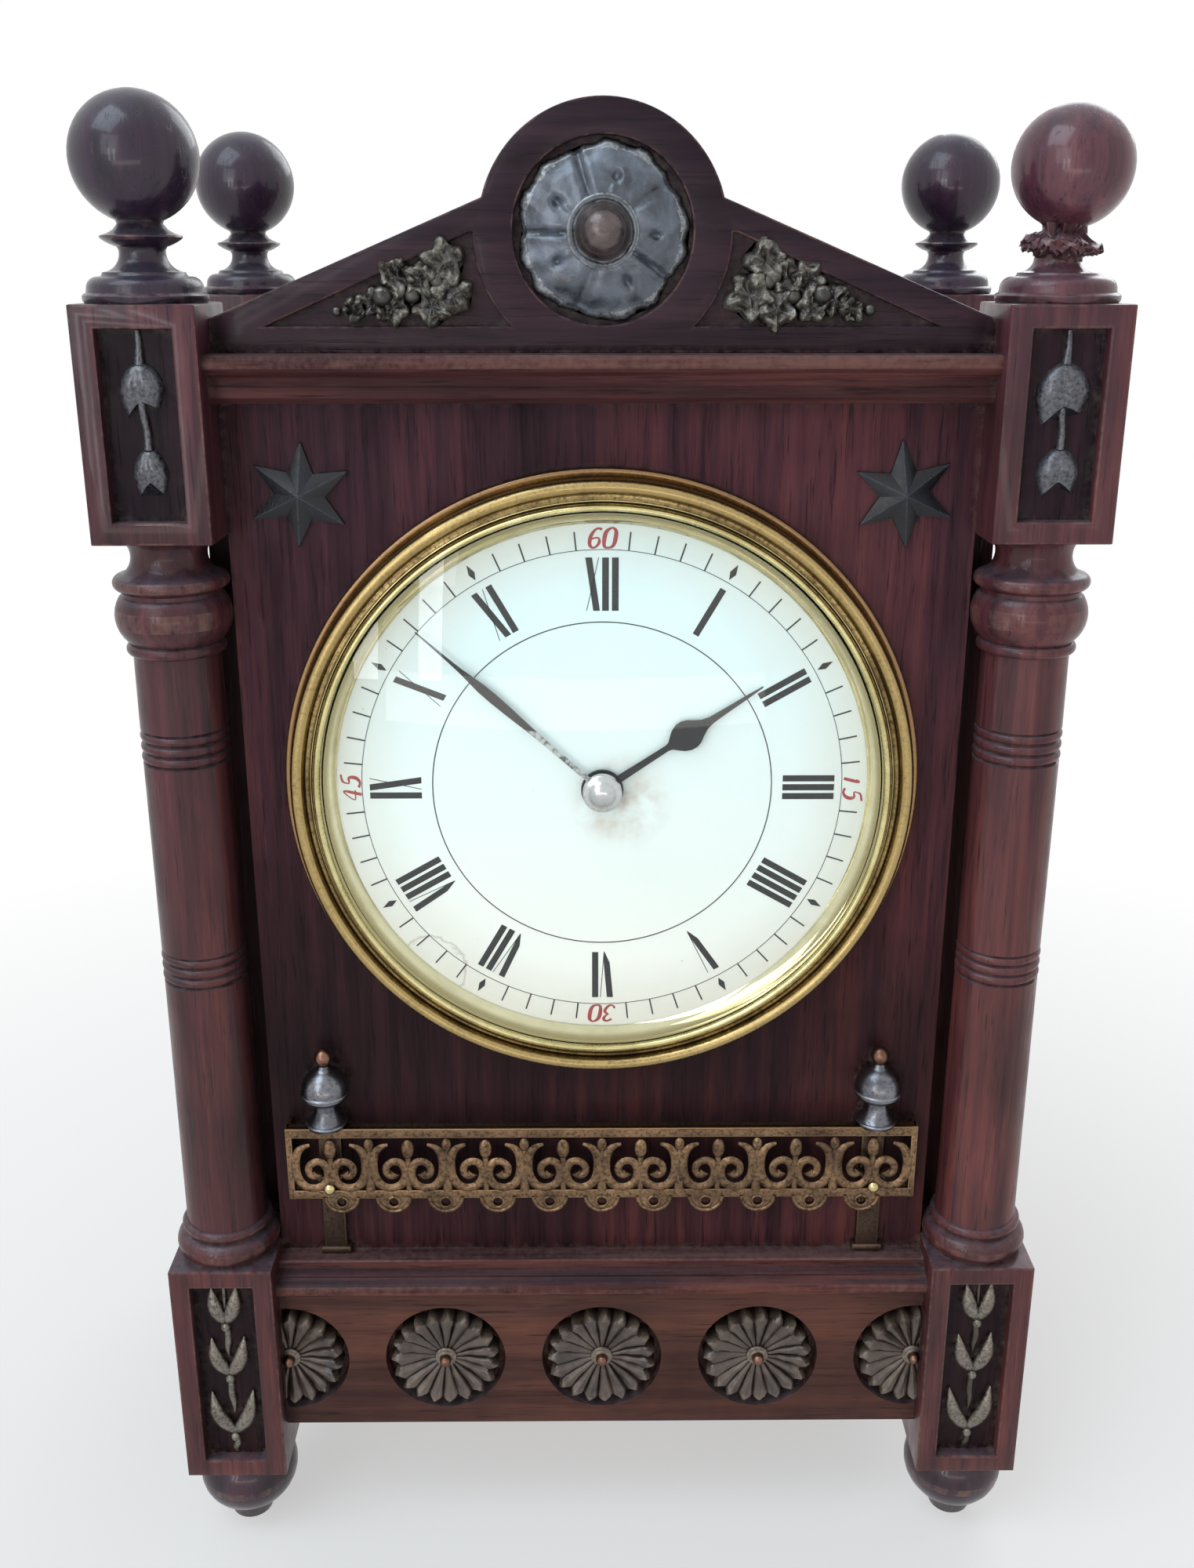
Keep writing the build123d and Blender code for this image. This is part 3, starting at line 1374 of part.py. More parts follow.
def hinge_leaf(side, knuckles):
    """Leaves of both hinges on one side of the pin, with the knuckles given by their places up the hinge."""
    for bottom in hinge_bottoms:
        near = hinge_x + side * (knuckle_radius + free_gap)
        far = hinge_x + side * leaf_width
        slab(sorted((near, far)), (back_rear_y, back_rear_y + leaf_thick), (bottom, bottom + hinge_height))
        for place in knuckles:
            low = bottom + place * knuckle_height + free_gap / 2
            height = knuckle_height - free_gap
            disc(Plane(origin=(hinge_x, hinge_y, low)), knuckle_radius, height)
            slab(sorted((hinge_x, near)), (back_rear_y, back_rear_y + leaf_thick), (low, low + height))


with BuildPart() as hinge_leaves_frame:
    hinge_leaf(1, range(0, knuckle_count, 2))
    for bottom in hinge_bottoms:
        disc(Plane(origin=(hinge_x, hinge_y, bottom)), hinge_pin_radius, hinge_height)
write(hinge_leaves_frame.part, "hinge_leaves_frame")
with BuildPart() as hinge_leaves_door:
    hinge_leaf(-1, range(1, knuckle_count, 2))
    for bottom in hinge_bottoms:
        disc(Plane(origin=(hinge_x, hinge_y, bottom)), hinge_pin_radius + running_gap, hinge_height,
             Mode.SUBTRACT)
write(hinge_leaves_door.part, "hinge_leaves_door")

# Turn button on the back frame; it stands upright, clear of the door, and turns across it to hold it shut
with BuildPart() as turn_button:
    button_front_y = back_rear_y + free_gap
    with BuildSketch(facing(button_x, button_z, button_front_y + button_thick)):
        Rectangle(button_width, button_length)
    extrude(amount=button_thick)
    rod(button_x, button_z, button_pin_radius, back_rear_y - button_pin_depth, button_front_y)
write(turn_button.part, "turn_button")
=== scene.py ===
"""Looks of a small oak mantel clock with turned posts, a pediment and a brass-bezelled dial.

Sizes are written in millimetres and become metres when a piece is finished.
"""
import logging
import math
import random
from dataclasses import dataclass, replace
from enum import Enum
from typing import Callable, Iterable, Optional, Sequence

import bmesh
import bpy
from mathutils import Matrix, Vector, noise


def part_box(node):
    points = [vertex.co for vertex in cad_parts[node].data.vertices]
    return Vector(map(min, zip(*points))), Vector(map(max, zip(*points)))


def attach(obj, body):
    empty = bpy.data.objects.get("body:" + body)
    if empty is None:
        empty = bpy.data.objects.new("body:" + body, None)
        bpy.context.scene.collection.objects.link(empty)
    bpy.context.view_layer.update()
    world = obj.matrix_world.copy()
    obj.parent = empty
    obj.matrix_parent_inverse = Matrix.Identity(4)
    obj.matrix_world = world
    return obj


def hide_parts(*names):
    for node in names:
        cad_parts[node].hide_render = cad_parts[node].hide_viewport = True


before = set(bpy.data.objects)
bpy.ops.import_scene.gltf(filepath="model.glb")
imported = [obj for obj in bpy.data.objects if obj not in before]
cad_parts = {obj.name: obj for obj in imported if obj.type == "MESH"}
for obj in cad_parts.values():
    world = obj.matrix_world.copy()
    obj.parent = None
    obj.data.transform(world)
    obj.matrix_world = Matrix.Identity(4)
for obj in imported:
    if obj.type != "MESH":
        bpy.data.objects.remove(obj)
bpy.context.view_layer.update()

MM = 0.001
LOG = logging.getLogger("mantel_clock")
Point = tuple[float, float]
Stations = Sequence[tuple[float, ...]]
Colour = tuple[float, float, float, float]
Socket = bpy.types.NodeSocket
Vert, Edge, Face = bmesh.types.BMVert, bmesh.types.BMEdge, bmesh.types.BMFace
Input = Socket | float | Sequence[float]


class Grain(Enum):
    """Direction in which the wood's grain runs."""

    ACROSS = (0.05, 1.0, 1.0)
    DEEP = (1.0, 0.05, 1.0)
    UPRIGHT = (1.0, 1.0, 0.05)


class Axis(Enum):
    """Axis round which a piece is turned."""

    DEPTH = "Y"
    HEIGHT = "Z"


def tint(red: int, green: int, blue: int) -> Colour:
    """Turns a screen colour into the linear one that the shader takes.

    Args:
        red: Red from 0 to 255.
        green: Green from 0 to 255.
        blue: Blue from 0 to 255.

    Returns:
        Linear colour with full alpha.
    """
    def linear(value: int) -> float:
        """One channel made linear."""
        share = value / 255
        return share / 12.92 if share <= 0.04045 else ((share + 0.055) / 1.055) ** 2.4

    return (linear(red), linear(green), linear(blue), 1.0)


class Shade:
    """Node tree of one material, with short calls for the nodes that the finishes share."""

    def __init__(self, name: str) -> None:
        """Starts a material with its Principled shader.

        Args:
            name: Material name.
        """
        self.material = bpy.data.materials.new(name)
        self.material.use_nodes = True
        self.tree = self.material.node_tree
        self.shader = self.tree.nodes["Principled BSDF"]
        self.object_coords = self.node("ShaderNodeTexCoord").outputs["Object"]

    def node(self, kind: str, settings: Optional[dict] = None, **inputs: Input) -> bpy.types.Node:
        """Adds a node.

        Args:
            kind: Node type.
            settings: Properties of the node itself.
            inputs: Socket values or sockets, by socket name with spaces as underscores.

        Returns:
            The new node.
        """
        made = self.tree.nodes.new(kind)
        for key, value in (settings or {}).items():
            setattr(made, key, value)
        for key, value in inputs.items():
            self.feed(made.inputs[key.replace("_", " ")], value)
        return made

    def feed(self, socket: Socket, value: Input) -> None:
        """Links a socket into another, or sets its value.

        Args:
            socket: Input socket.
            value: Output socket, number or colour.
        """
        if isinstance(value, Socket):
            self.tree.links.new(value, socket)
        else:
            socket.default_value = value

    def set(self, **inputs: Input) -> None:
        """Feeds the Principled shader's own sockets, by name with spaces as underscores."""
        for key, value in inputs.items():
            self.feed(self.shader.inputs[key.replace("_", " ")], value)

    def place(self, scale: Sequence[float] = (1, 1, 1), shift: Sequence[float] = (0, 0, 0),
              turn: Sequence[float] = (0, 0, 0)) -> Socket:
        """Object coordinates, stretched, moved, and turned by radians."""
        return self.node("ShaderNodeMapping", None, Vector=self.object_coords, Scale=scale, Location=shift,
                         Rotation=turn).outputs[0]

    def noise(self, vector: Socket, scale: float, detail: float = 4.0, rough: float = 0.55,
              bend: float = 0.0) -> Socket:
        """Noise from 0 to 1, with a scale in cycles per metre."""
        return self.node("ShaderNodeTexNoise", None, Vector=vector, Scale=scale, Detail=detail,
                         Roughness=rough, Distortion=bend).outputs[0]

    def ramp(self, factor: Socket, stops: Sequence[tuple[float, Colour]]) -> Socket:
        """Colour ramp.

        Args:
            factor: Factor socket.
            stops: Places from 0 to 1 with their colours.

        Returns:
            Colour socket.
        """
        made = self.node("ShaderNodeValToRGB", None, Fac=factor)
        band = made.color_ramp
        while len(band.elements) < len(stops):
            band.elements.new(0.5)
        for element, (place, colour) in zip(band.elements, stops):
            element.position = place
            element.color = colour
        return made.outputs[0]

    def span(self, value: Socket, low: float, high: float, start: float = 0.0,
             end: float = 1.0) -> Socket:
        """Stretches a value's range and clamps it.

        Args:
            value: Value socket.
            low: Value that becomes start.
            high: Value that becomes end.
            start: Result at low.
            end: Result at high.

        Returns:
            Value socket.
        """
        made = self.node("ShaderNodeMapRange", {"clamp": True}, Value=value)
        for key, number in (("From Min", low), ("From Max", high), ("To Min", start), ("To Max", end)):
            made.inputs[key].default_value = number
        return made.outputs[0]

    def sum(self, operation: str, first: Input, second: Input = 0.0) -> Socket:
        """Arithmetic on two values.

        Args:
            operation: Math node operation.
            first: Socket or number.
            second: Socket or number.

        Returns:
            Value socket.
        """
        made = self.node("ShaderNodeMath", {"operation": operation})
        self.feed(made.inputs[0], first)
        self.feed(made.inputs[1], second)
        return made.outputs[0]

    def mix(self, factor: Input, under: Input, over: Input, blend: str = "MIX") -> Socket:
        """Lays one colour over another.

        Args:
            factor: Socket or number.
            under: Colour or socket.
            over: Colour or socket.
            blend: Blend type.

        Returns:
            Colour socket.
        """
        made = self.node("ShaderNodeMix", {"data_type": "RGBA", "blend_type": blend})
        self.feed(made.inputs[0], factor)
        self.feed(made.inputs[6], under)
        self.feed(made.inputs[7], over)
        return made.outputs[2]

    def times(self, first: Input, second: Input) -> Socket:
        """Product of two values."""
        return self.sum("MULTIPLY", first, second)

    def over(self, base: Input, colour: Colour, mask: Input, share: Input) -> Socket:
        """Lays a share of a colour over a base where a mask lets it."""
        return self.mix(self.times(mask, share), base, colour)

    def height(self) -> Socket:
        """Height above the floor, in metres."""
        return self.node("ShaderNodeSeparateXYZ", None, Vector=self.object_coords).outputs["Z"]

    def blend_with(self, factor: Input, other: Socket) -> None:
        """Mixes another shader with the Principled one and sends both out.

        Args:
            factor: Share of the other shader.
            other: Its shader socket.
        """
        both = self.node("ShaderNodeMixShader")
        for socket, value in zip(both.inputs, (factor, self.shader.outputs[0], other)):
            self.feed(socket, value)
        self.feed(self.tree.nodes["Material Output"].inputs["Surface"], both.outputs[0])

    def crevice(self, reach: float, low: float, high: float) -> Socket:
        """Mask of corners narrower than a reach in metres: 1 at the low openness, 0 at the high one."""
        open_share = self.node("ShaderNodeAmbientOcclusion", {"samples": 6}, Distance=reach).outputs["AO"]
        return self.span(open_share, low, high, 1.0, 0.0)

    def worn(self) -> Socket:
        """The piece's own mask of rubbed edges."""
        return self.node("ShaderNodeAttribute", {"attribute_name": "worn"}).outputs["Fac"]

    def relief(self, height: Socket, strength: float, depth: float) -> Socket:
        """Bump of a depth in metres."""
        return self.node("ShaderNodeBump", None, Height=height, Strength=strength, Distance=depth).outputs[0]


@dataclass(frozen=True)
class OakFinish:
    """Dark waxed oak with open pores, streaks, rubbed edges and dust in its corners, with painted light and
    shade: a bluish tint higher up, a pale sheen mixed with dust on upward faces, shade in wide corners and,
    where asked, a shadow band.
    """

    name: str
    grain: Grain
    deep: Colour = tint(30, 20, 24)
    middle: Colour = tint(60, 40, 43)
    warm: Colour = tint(96, 58, 55)
    rubbed: Colour = tint(142, 104, 94)
    dust: Colour = tint(150, 138, 128)
    # Pale bluish dust with a painted sheen of the light above, laid on upward faces.
    dust_and_sheen: Colour = tint(158, 164, 184)
    # Dark colour of the pores and random clouds, and of the painted shade in corners and in the shadow band.
    grime_and_shade: Colour = tint(17, 13, 16)
    # Painted light: bluish tint multiplied into the oak higher up, as from the sky above.
    painted_sky_tint: Colour = (0.82, 1.0, 1.4, 1.0)
    painted_sky_from: float = 0.10
    painted_sky_share: float = 0.8
    dust_share: float = 0.5
    dust_and_sheen_share: float = 0.2
    # Strength of a painted shadow band across the oak at 115 mm height, above the gallery.
    painted_shadow: float = 0.0
    roughness: float = 0.4
    gloss: float = 0.22
    coat: float = 0.05

    def material(self) -> bpy.types.Material:
        """Builds the node tree.

        Returns:
            The material.
        """
        shade = Shade(self.name)
        along = shade.place(self.grain.value)
        broad = shade.noise(along, 30, 3, 0.5, 0.5)
        streak = shade.noise(along, 260, 6, 0.66, 0.3)
        blend = shade.sum("ADD", shade.times(broad, 0.5), shade.times(streak, 0.5))
        base = shade.ramp(blend, ((0.36, self.deep), (0.5, self.middle), (0.64, self.warm)))
        ring = shade.span(shade.noise(along, 560, 4, 0.72, 0.2), 0.54, 0.68)
        base = shade.over(base, self.deep, ring, 0.55)
        open_pore = shade.span(shade.noise(along, 1700, 3, 0.6), 0.59, 0.7)
        base = shade.over(base, self.grime_and_shade, open_pore, 0.65)
        height = shade.height()
        # Painted light: the oak turns bluish higher up, as if lit by the sky above.
        haze = shade.span(height, self.painted_sky_from, self.painted_sky_from + 0.13, 0.0, self.painted_sky_share)
        base = shade.mix(haze, base, shade.mix(1.0, base, self.painted_sky_tint, "MULTIPLY"))
        cloud = shade.span(shade.noise(shade.object_coords, 26, 4, 0.6), 0.42, 0.72, 0.0, 0.45)
        # Random darker clouds, and painted shade in corners narrower than 22 mm.
        corner = shade.crevice(0.022, 0.3, 0.85)
        base = shade.mix(shade.sum("MAXIMUM", cloud, shade.times(corner, 0.55)), base, self.grime_and_shade)
        # Painted shadow: a dark band at 115 mm height, between the gallery and the bezel.
        if self.painted_shadow:
            band = shade.span(shade.sum("ABSOLUTE", shade.sum("SUBTRACT", height, 0.115)), 0.006, 0.04,
                              self.painted_shadow, 0.0)
            base = shade.mix(band, base, self.grime_and_shade)
        patch = shade.noise(shade.object_coords, 600, 5, 0.64)
        scuff = shade.sum("ADD", shade.times(shade.noise(along, 300, 4, 0.6), 0.6),
                          shade.times(patch, 0.4))
        edge = shade.times(shade.worn(), shade.span(scuff, 0.45, 0.63))
        base = shade.over(base, self.rubbed, edge, 0.55)
        # Upward faces get pale dust together with a painted bluish sheen of the light above.
        facing = shade.node("ShaderNodeSeparateXYZ", None,
                            Vector=shade.node("ShaderNodeNewGeometry").outputs["Normal"]).outputs["Z"]
        lies = shade.times(shade.span(facing, 0.35, 0.95), shade.span(scuff, 0.36, 0.6, 0.25, 1.0))
        base = shade.over(base, self.dust_and_sheen, lies, self.dust_and_sheen_share)
        dusty = shade.times(shade.crevice(0.004, 0.3, 0.6), shade.span(patch, 0.42, 0.68))
        base = shade.over(base, self.dust, dusty, self.dust_share)
        polish = shade.span(shade.noise(shade.object_coords, 130, 4), 0.3, 0.75, self.roughness - 0.1,
                            self.roughness + 0.16)
        grooves = shade.sum("SUBTRACT", shade.times(streak, 0.5), open_pore)
        shade.set(Base_Color=base, Roughness=shade.sum("ADD", polish, shade.times(dusty, 0.3)),
                  Normal=shade.relief(grooves, 0.3, 0.00025), Specular_IOR_Level=self.gloss,
                  Coat_Weight=self.coat, Coat_Roughness=0.1)
        return shade.material


@dataclass(frozen=True)
class BronzedFinish:
    """Carving in dark wood rubbed over with bronze powder, bright on its ridges and darker in its hollows."""

    name: str
    dark: Colour = tint(44, 38, 38)
    bronze: Colour = tint(112, 98, 80)
    bright: Colour = tint(176, 158, 132)
    hollow: Colour = tint(26, 20, 20)
    metallic: float = 0.55
    roughness: float = 0.36
    speckle: float = 0.4
    coat: float = 0.35

    def material(self) -> bpy.types.Material:
        """Builds the node tree.

        Returns:
            The material.
        """
        shade = Shade(self.name)
        broad = shade.noise(shade.object_coords, 190, 5, 0.6, 0.5)
        fine = shade.noise(shade.object_coords, 1600, 4, 0.65)
        base = shade.ramp(broad, ((0.34, self.dark), (0.66, self.bronze)))
        base = shade.mix(shade.span(fine, 0.55, 0.74, 0.0, self.speckle), base, self.hollow)
        rub = shade.times(shade.worn(), shade.span(fine, 0.34, 0.6))
        base = shade.over(base, self.bright, rub, 0.6)
        # Darker towards the hollow colour in narrow hollows, by an occlusion mask.
        base = shade.mix(shade.crevice(0.0028, 0.25, 0.72), base, self.hollow)
        gloss = shade.span(broad, 0.3, 0.7, self.roughness - 0.08, self.roughness + 0.2)
        shade.set(Base_Color=base, Metallic=self.metallic, Roughness=gloss,
                  Normal=shade.relief(shade.sum("ADD", shade.times(broad, 0.8), fine), 0.3, 0.0003),
                  Coat_Weight=self.coat, Coat_Roughness=0.15)
        return shade.material


@dataclass(frozen=True)
class MetalFinish:
    """Old metal with a brown patina that has rubbed off where hands and cloths reach, and, where a foot colour
    is given, a painted warm reflection low down.
    """

    name: str
    bright: Colour
    aged: Colour
    stain: Colour
    roughness: float = 0.26
    stain_share: float = 0.6
    stain_low: float = 0.5
    scratch: float = 0.12
    spread: float = 0.24
    # Colour of a painted warm reflection on the lower part, if any.
    foot: Optional[Colour] = None

    def material(self) -> bpy.types.Material:
        """Builds the node tree.

        Returns:
            The material.
        """
        shade = Shade(self.name)
        broad = shade.noise(shade.object_coords, 95, 5, 0.62, 0.8)
        fine = shade.noise(shade.object_coords, 1300, 5, 0.65)
        base = shade.mix(shade.span(broad, 0.34, 0.68), self.bright, self.aged)
        # Painted light: a warm reflection on the lower part, fading out by 200 mm height.
        if self.foot:
            height = shade.height()
            base = shade.mix(shade.span(height, 0.118, 0.2, 0.85, 0.0), base, self.foot)
        spots = shade.span(fine, self.stain_low, self.stain_low + 0.2)
        base = shade.over(base, self.stain, spots, self.stain_share)
        base = shade.mix(shade.crevice(0.0016, 0.3, 0.75), base, self.stain)
        base = shade.over(base, self.bright, shade.worn(), shade.span(fine, 0.3, 0.55))
        gloss = shade.span(shade.sum("ADD", broad, shade.times(spots, 0.5)), 0.3, 1.0,
                           self.roughness, self.roughness + self.spread)
        shade.set(Base_Color=base, Metallic=1.0, Roughness=gloss,
                  Normal=shade.relief(fine, self.scratch, 0.0001))
        return shade.material


@dataclass(frozen=True)
class EnamelFinish:
    """White dial enamel with a painted bluish tint of light towards the top, painted shade near its rim,
    specks, a stain by the hub, a tide mark and one hairline crack.
    """

    name: str = "white_enamel"
    white: Colour = tint(238, 236, 230)
    # Painted light: bluish tint towards the top of the dial.
    painted_top_tint: Colour = tint(208, 232, 238)
    speck: Colour = tint(140, 128, 104)
    rust: Colour = tint(176, 140, 118)
    # Painted shade near the dial's rim, under the bezel.
    edge: Colour = tint(206, 201, 188)

    def blot(self, shade: Shade, x: float, z: float, radius: float) -> Socket:
        """Round mask about a place on the dial, 1 at the middle and 0 at the radius, in metres."""
        scale = 1 / radius
        return shade.node("ShaderNodeTexGradient", {"gradient_type": "SPHERICAL"},
                          Vector=shade.place((scale, 0, scale), (-scale * x, 0, -scale * z))).outputs[1]

    def material(self) -> bpy.types.Material:
        """Builds the node tree.

        Returns:
            The material.
        """
        shade = Shade(self.name)
        broad = shade.noise(shade.object_coords, 22, 3)
        fine = shade.noise(shade.object_coords, 620, 3, 0.6)
        height = shade.height()
        # Painted light: the enamel turns bluish towards the top of the dial.
        upper = shade.span(shade.sum("ADD", height, shade.times(broad, 0.03)), 0.14, 0.235)
        base = shade.mix(upper, self.white, self.painted_top_tint)
        # Painted shade: the enamel greys near its rim, where the bezel shades it.
        rim = shade.sum("ADD", self.blot(shade, 0.0, 0.1707, 0.054), shade.times(broad, 0.2))
        base = shade.mix(shade.span(rim, 0.14, 0.42, 0.7, 0.0), base, self.edge)
        base = shade.mix(shade.span(fine, 0.74, 0.8, 0.0, 0.5), base, self.speck)
        cloud = shade.noise(shade.object_coords, 260, 4)
        tide = self.blot(shade, -0.0335, 0.1335, 0.009)
        ragged = shade.sum("ADD", tide, shade.times(cloud, 0.7))
        rim = shade.span(shade.sum("ABSOLUTE", shade.sum("SUBTRACT", ragged, 0.62)), 0.0, 0.06, 0.45, 0.0)
        base = shade.over(base, self.speck, rim, shade.span(tide, 0.02, 0.2))
        hub = shade.times(self.blot(shade, 0.0035, 0.168, 0.0105), shade.span(cloud, 0.35, 0.7))
        base = shade.over(base, self.rust, hub, 0.9)
        line = shade.node("ShaderNodeSeparateXYZ", None,
                          Vector=shade.place((1, 1, 1), (-0.0112, 0, -0.1355),
                                             (0, math.radians(39), 0))).outputs
        waver = shade.times(shade.sum("SUBTRACT", shade.noise(shade.object_coords, 150, 3), 0.5), 0.002)
        near = shade.span(shade.sum("ABSOLUTE", shade.sum("ADD", line["Z"], waver)), 0.00005, 0.00014, 0.55,
                          0.0)
        reach = shade.span(shade.sum("ABSOLUTE", line["X"]), 0.0095, 0.011, 1.0, 0.0)
        base = shade.over(base, self.speck, near, reach)
        shade.set(Base_Color=base, Roughness=shade.span(broad, 0.3, 0.7, 0.14, 0.24), Specular_IOR_Level=0.3)
        return shade.material


@dataclass(frozen=True)
class PaintFinish:
    """Fired paint or blued steel: one dark colour that thins in places and has gone where it is rubbed."""

    name: str
    ink: Colour
    thin: Colour
    bare: Colour = tint(206, 208, 206)
    roughness: float = 0.4
    metallic: float = 0.0

    def material(self) -> bpy.types.Material:
        """Builds the node tree.

        Returns:
            The material.
        """
        shade = Shade(self.name)
        fade = shade.noise(shade.object_coords, 700, 5, 0.7)
        base = shade.mix(shade.span(fade, 0.5, 0.78, 0.0, 0.7), self.ink, self.thin)
        base = shade.over(base, self.bare, shade.worn(), shade.span(fade, 0.38, 0.56))
        shade.set(Base_Color=base, Metallic=self.metallic,
                  Roughness=shade.span(fade, 0.3, 0.7, self.roughness - 0.08, self.roughness + 0.12))
        return shade.material


@dataclass(frozen=True)
class GlassFinish:
    """Clear domed glass that lets the lamps through to the dial, with a little haze."""

    name: str = "domed_glass"
    body: Colour = (0.97, 0.995, 0.985, 1.0)

    def material(self) -> bpy.types.Material:
        """Builds the node tree.

        Returns:
            The material.
        """
        shade = Shade(self.name)
        haze = shade.noise(shade.object_coords, 60, 4)
        shade.set(Base_Color=self.body, Transmission_Weight=1.0, IOR=1.4,
                  Specular_Tint=(0.5, 0.52, 0.55, 1.0), Roughness=shade.span(haze, 0.4, 0.75, 0.0, 0.03))
        clear = shade.node("ShaderNodeBsdfTransparent", None, Color=self.body).outputs[0]
        shade.blend_with(shade.node("ShaderNodeLightPath").outputs["Is Shadow Ray"], clear)
        return shade.material


RAIL = OakFinish("oak_rail", Grain.ACROSS, tint(56, 34, 31), tint(94, 60, 53), tint(124, 78, 64),
                 dust_share=0.3, gloss=0.12)
MOULDING = OakFinish("oak_moulding", Grain.ACROSS, tint(36, 19, 22), tint(84, 47, 46), tint(134, 80, 70),
                     coat=0.0, gloss=0.12, painted_sky_from=0.2, dust_and_sheen_share=0.1)


class Palette:
    """Every finish of the clock, each made into one material when it is first asked for."""

    finishes = {finish.name: finish for finish in (
        OakFinish("oak_panel", Grain.UPRIGHT, tint(32, 17, 21), tint(78, 44, 50), tint(122, 66, 64),
                  gloss=0.1, coat=0.0, painted_shadow=0.6, painted_sky_share=0.6),
        OakFinish("oak_post", Grain.UPRIGHT, tint(40, 18, 22), tint(93, 49, 51), tint(138, 75, 69), coat=0.25,
                  painted_sky_from=0.13, painted_sky_share=0.7),
        OakFinish("oak_recess", Grain.UPRIGHT, tint(20, 12, 16), tint(44, 27, 32), tint(70, 43, 45),
                  gloss=0.1, coat=0.0, dust_and_sheen_share=0.1),
        RAIL, replace(RAIL, name="oak_side_rail", grain=Grain.DEEP),
        MOULDING, replace(MOULDING, name="oak_side_moulding", grain=Grain.DEEP),
        OakFinish("oak_top", Grain.ACROSS, tint(34, 19, 22), tint(66, 39, 40), tint(96, 58, 54), gloss=0.12,
                  coat=0.0, dust_share=0.2, dust_and_sheen_share=0.05),
        OakFinish("oak_pediment", Grain.ACROSS, tint(28, 16, 20), tint(54, 33, 38), tint(80, 50, 52),
                  dust_share=0.4, gloss=0.15, dust_and_sheen_share=0.2),
        OakFinish("oak_turning", Grain.UPRIGHT, tint(30, 18, 30), tint(58, 36, 50), tint(88, 54, 64),
                  roughness=0.32, coat=0.35, gloss=0.3, dust_and_sheen_share=0.12),
        OakFinish("oak_red_turning", Grain.UPRIGHT, tint(46, 21, 27), tint(92, 45, 51), tint(136, 74, 72),
                  roughness=0.32, coat=0.35, gloss=0.3, dust_and_sheen_share=0.14),
        OakFinish("oak_side", Grain.UPRIGHT, tint(36, 20, 23), tint(76, 43, 43), tint(110, 62, 56)),
        OakFinish("oak_inside", Grain.UPRIGHT, tint(92, 66, 46), tint(126, 94, 66), tint(154, 118, 84),
                  roughness=0.6, coat=0.0, painted_sky_share=0.0),
        BronzedFinish("bronzed_carving", tint(58, 48, 43), tint(106, 90, 80), tint(164, 148, 130),
                      metallic=0.2, hollow=tint(34, 27, 25)),
        BronzedFinish("bronzed_drop", tint(28, 27, 32), tint(55, 54, 62), tint(130, 131, 139), metallic=0.35,
                      roughness=0.26, speckle=0.15),
        BronzedFinish("gilded_drop", tint(50, 41, 36), tint(90, 76, 63), tint(174, 166, 152), metallic=0.4,
                      roughness=0.28, speckle=0.15),
        BronzedFinish("bronzed_leaf", tint(38, 36, 35), tint(86, 82, 76), tint(168, 163, 150), metallic=0.4),
        BronzedFinish("bronzed_rosette", tint(60, 65, 74), tint(110, 119, 132), tint(206, 208, 206),
                      metallic=0.3, roughness=0.24, speckle=0.15, hollow=tint(44, 45, 52)),
        BronzedFinish("rosette_knob", tint(66, 56, 56), tint(112, 98, 96), tint(190, 176, 166), metallic=0.5,
                      roughness=0.2, speckle=0.15),
        BronzedFinish("dark_carving", tint(11, 12, 17), tint(23, 26, 35), tint(62, 70, 88), metallic=0.1,
                      coat=0.0),
        MetalFinish("bezel_brass", tint(172, 150, 102), tint(118, 99, 66), tint(50, 39, 25), 0.2, 0.7, 0.47),
        MetalFinish("bezel_rim", tint(216, 207, 154), tint(180, 168, 118), tint(92, 78, 47), 0.16, 0.4, 0.54),
        # bezel_copper carries a painted warm reflection on its lower part.
        MetalFinish("bezel_copper", tint(140, 112, 82), tint(102, 80, 58), tint(54, 40, 28), 0.24,
                    foot=tint(222, 166, 92)),
        MetalFinish("sight_brass", tint(224, 216, 182), tint(206, 198, 158), tint(160, 148, 108), 0.03, 0.25,
                    0.6, 0.02, 0.05),
        MetalFinish("gallery_brass", tint(150, 121, 92), tint(98, 79, 63), tint(42, 34, 31), 0.34, 0.75,
                    0.45),
        MetalFinish("bracket_bronze", tint(98, 80, 68), tint(66, 54, 48), tint(38, 32, 31), 0.42, 0.6, 0.46),
        MetalFinish("urn_bronze", tint(132, 134, 140), tint(80, 80, 86), tint(36, 33, 36), 0.22, 0.6),
        MetalFinish("copper_tip", tint(142, 106, 88), tint(94, 68, 57), tint(48, 35, 31), 0.26, 0.5),
        MetalFinish("pin_brass", tint(220, 206, 156), tint(180, 160, 110), tint(90, 70, 44), 0.18, 0.3),
        MetalFinish("plate_brass", tint(204, 168, 98), tint(172, 138, 76), tint(96, 70, 36), 0.24, 0.35,
                    0.56),
        MetalFinish("polished_steel", tint(206, 206, 208), tint(168, 168, 172), tint(88, 80, 74), 0.16, 0.35,
                    0.58),
        PaintFinish("blued_black", tint(14, 14, 16), tint(40, 38, 42), roughness=0.32, metallic=0.2),
        PaintFinish("black_numerals", tint(12, 12, 14), tint(36, 36, 38)),
        PaintFinish("red_numerals", tint(150, 46, 46), tint(184, 104, 98)),
        EnamelFinish(),
        GlassFinish(),
    )}
    made: dict[str, bpy.types.Material] = {}

    @classmethod
    def get(cls, name: str) -> bpy.types.Material:
        """Gives a finish's material.

        Args:
            name: Finish name.

        Returns:
            The material.
        """
        if name not in cls.made:
            cls.made[name] = cls.finishes[name].material()
        return cls.made[name]


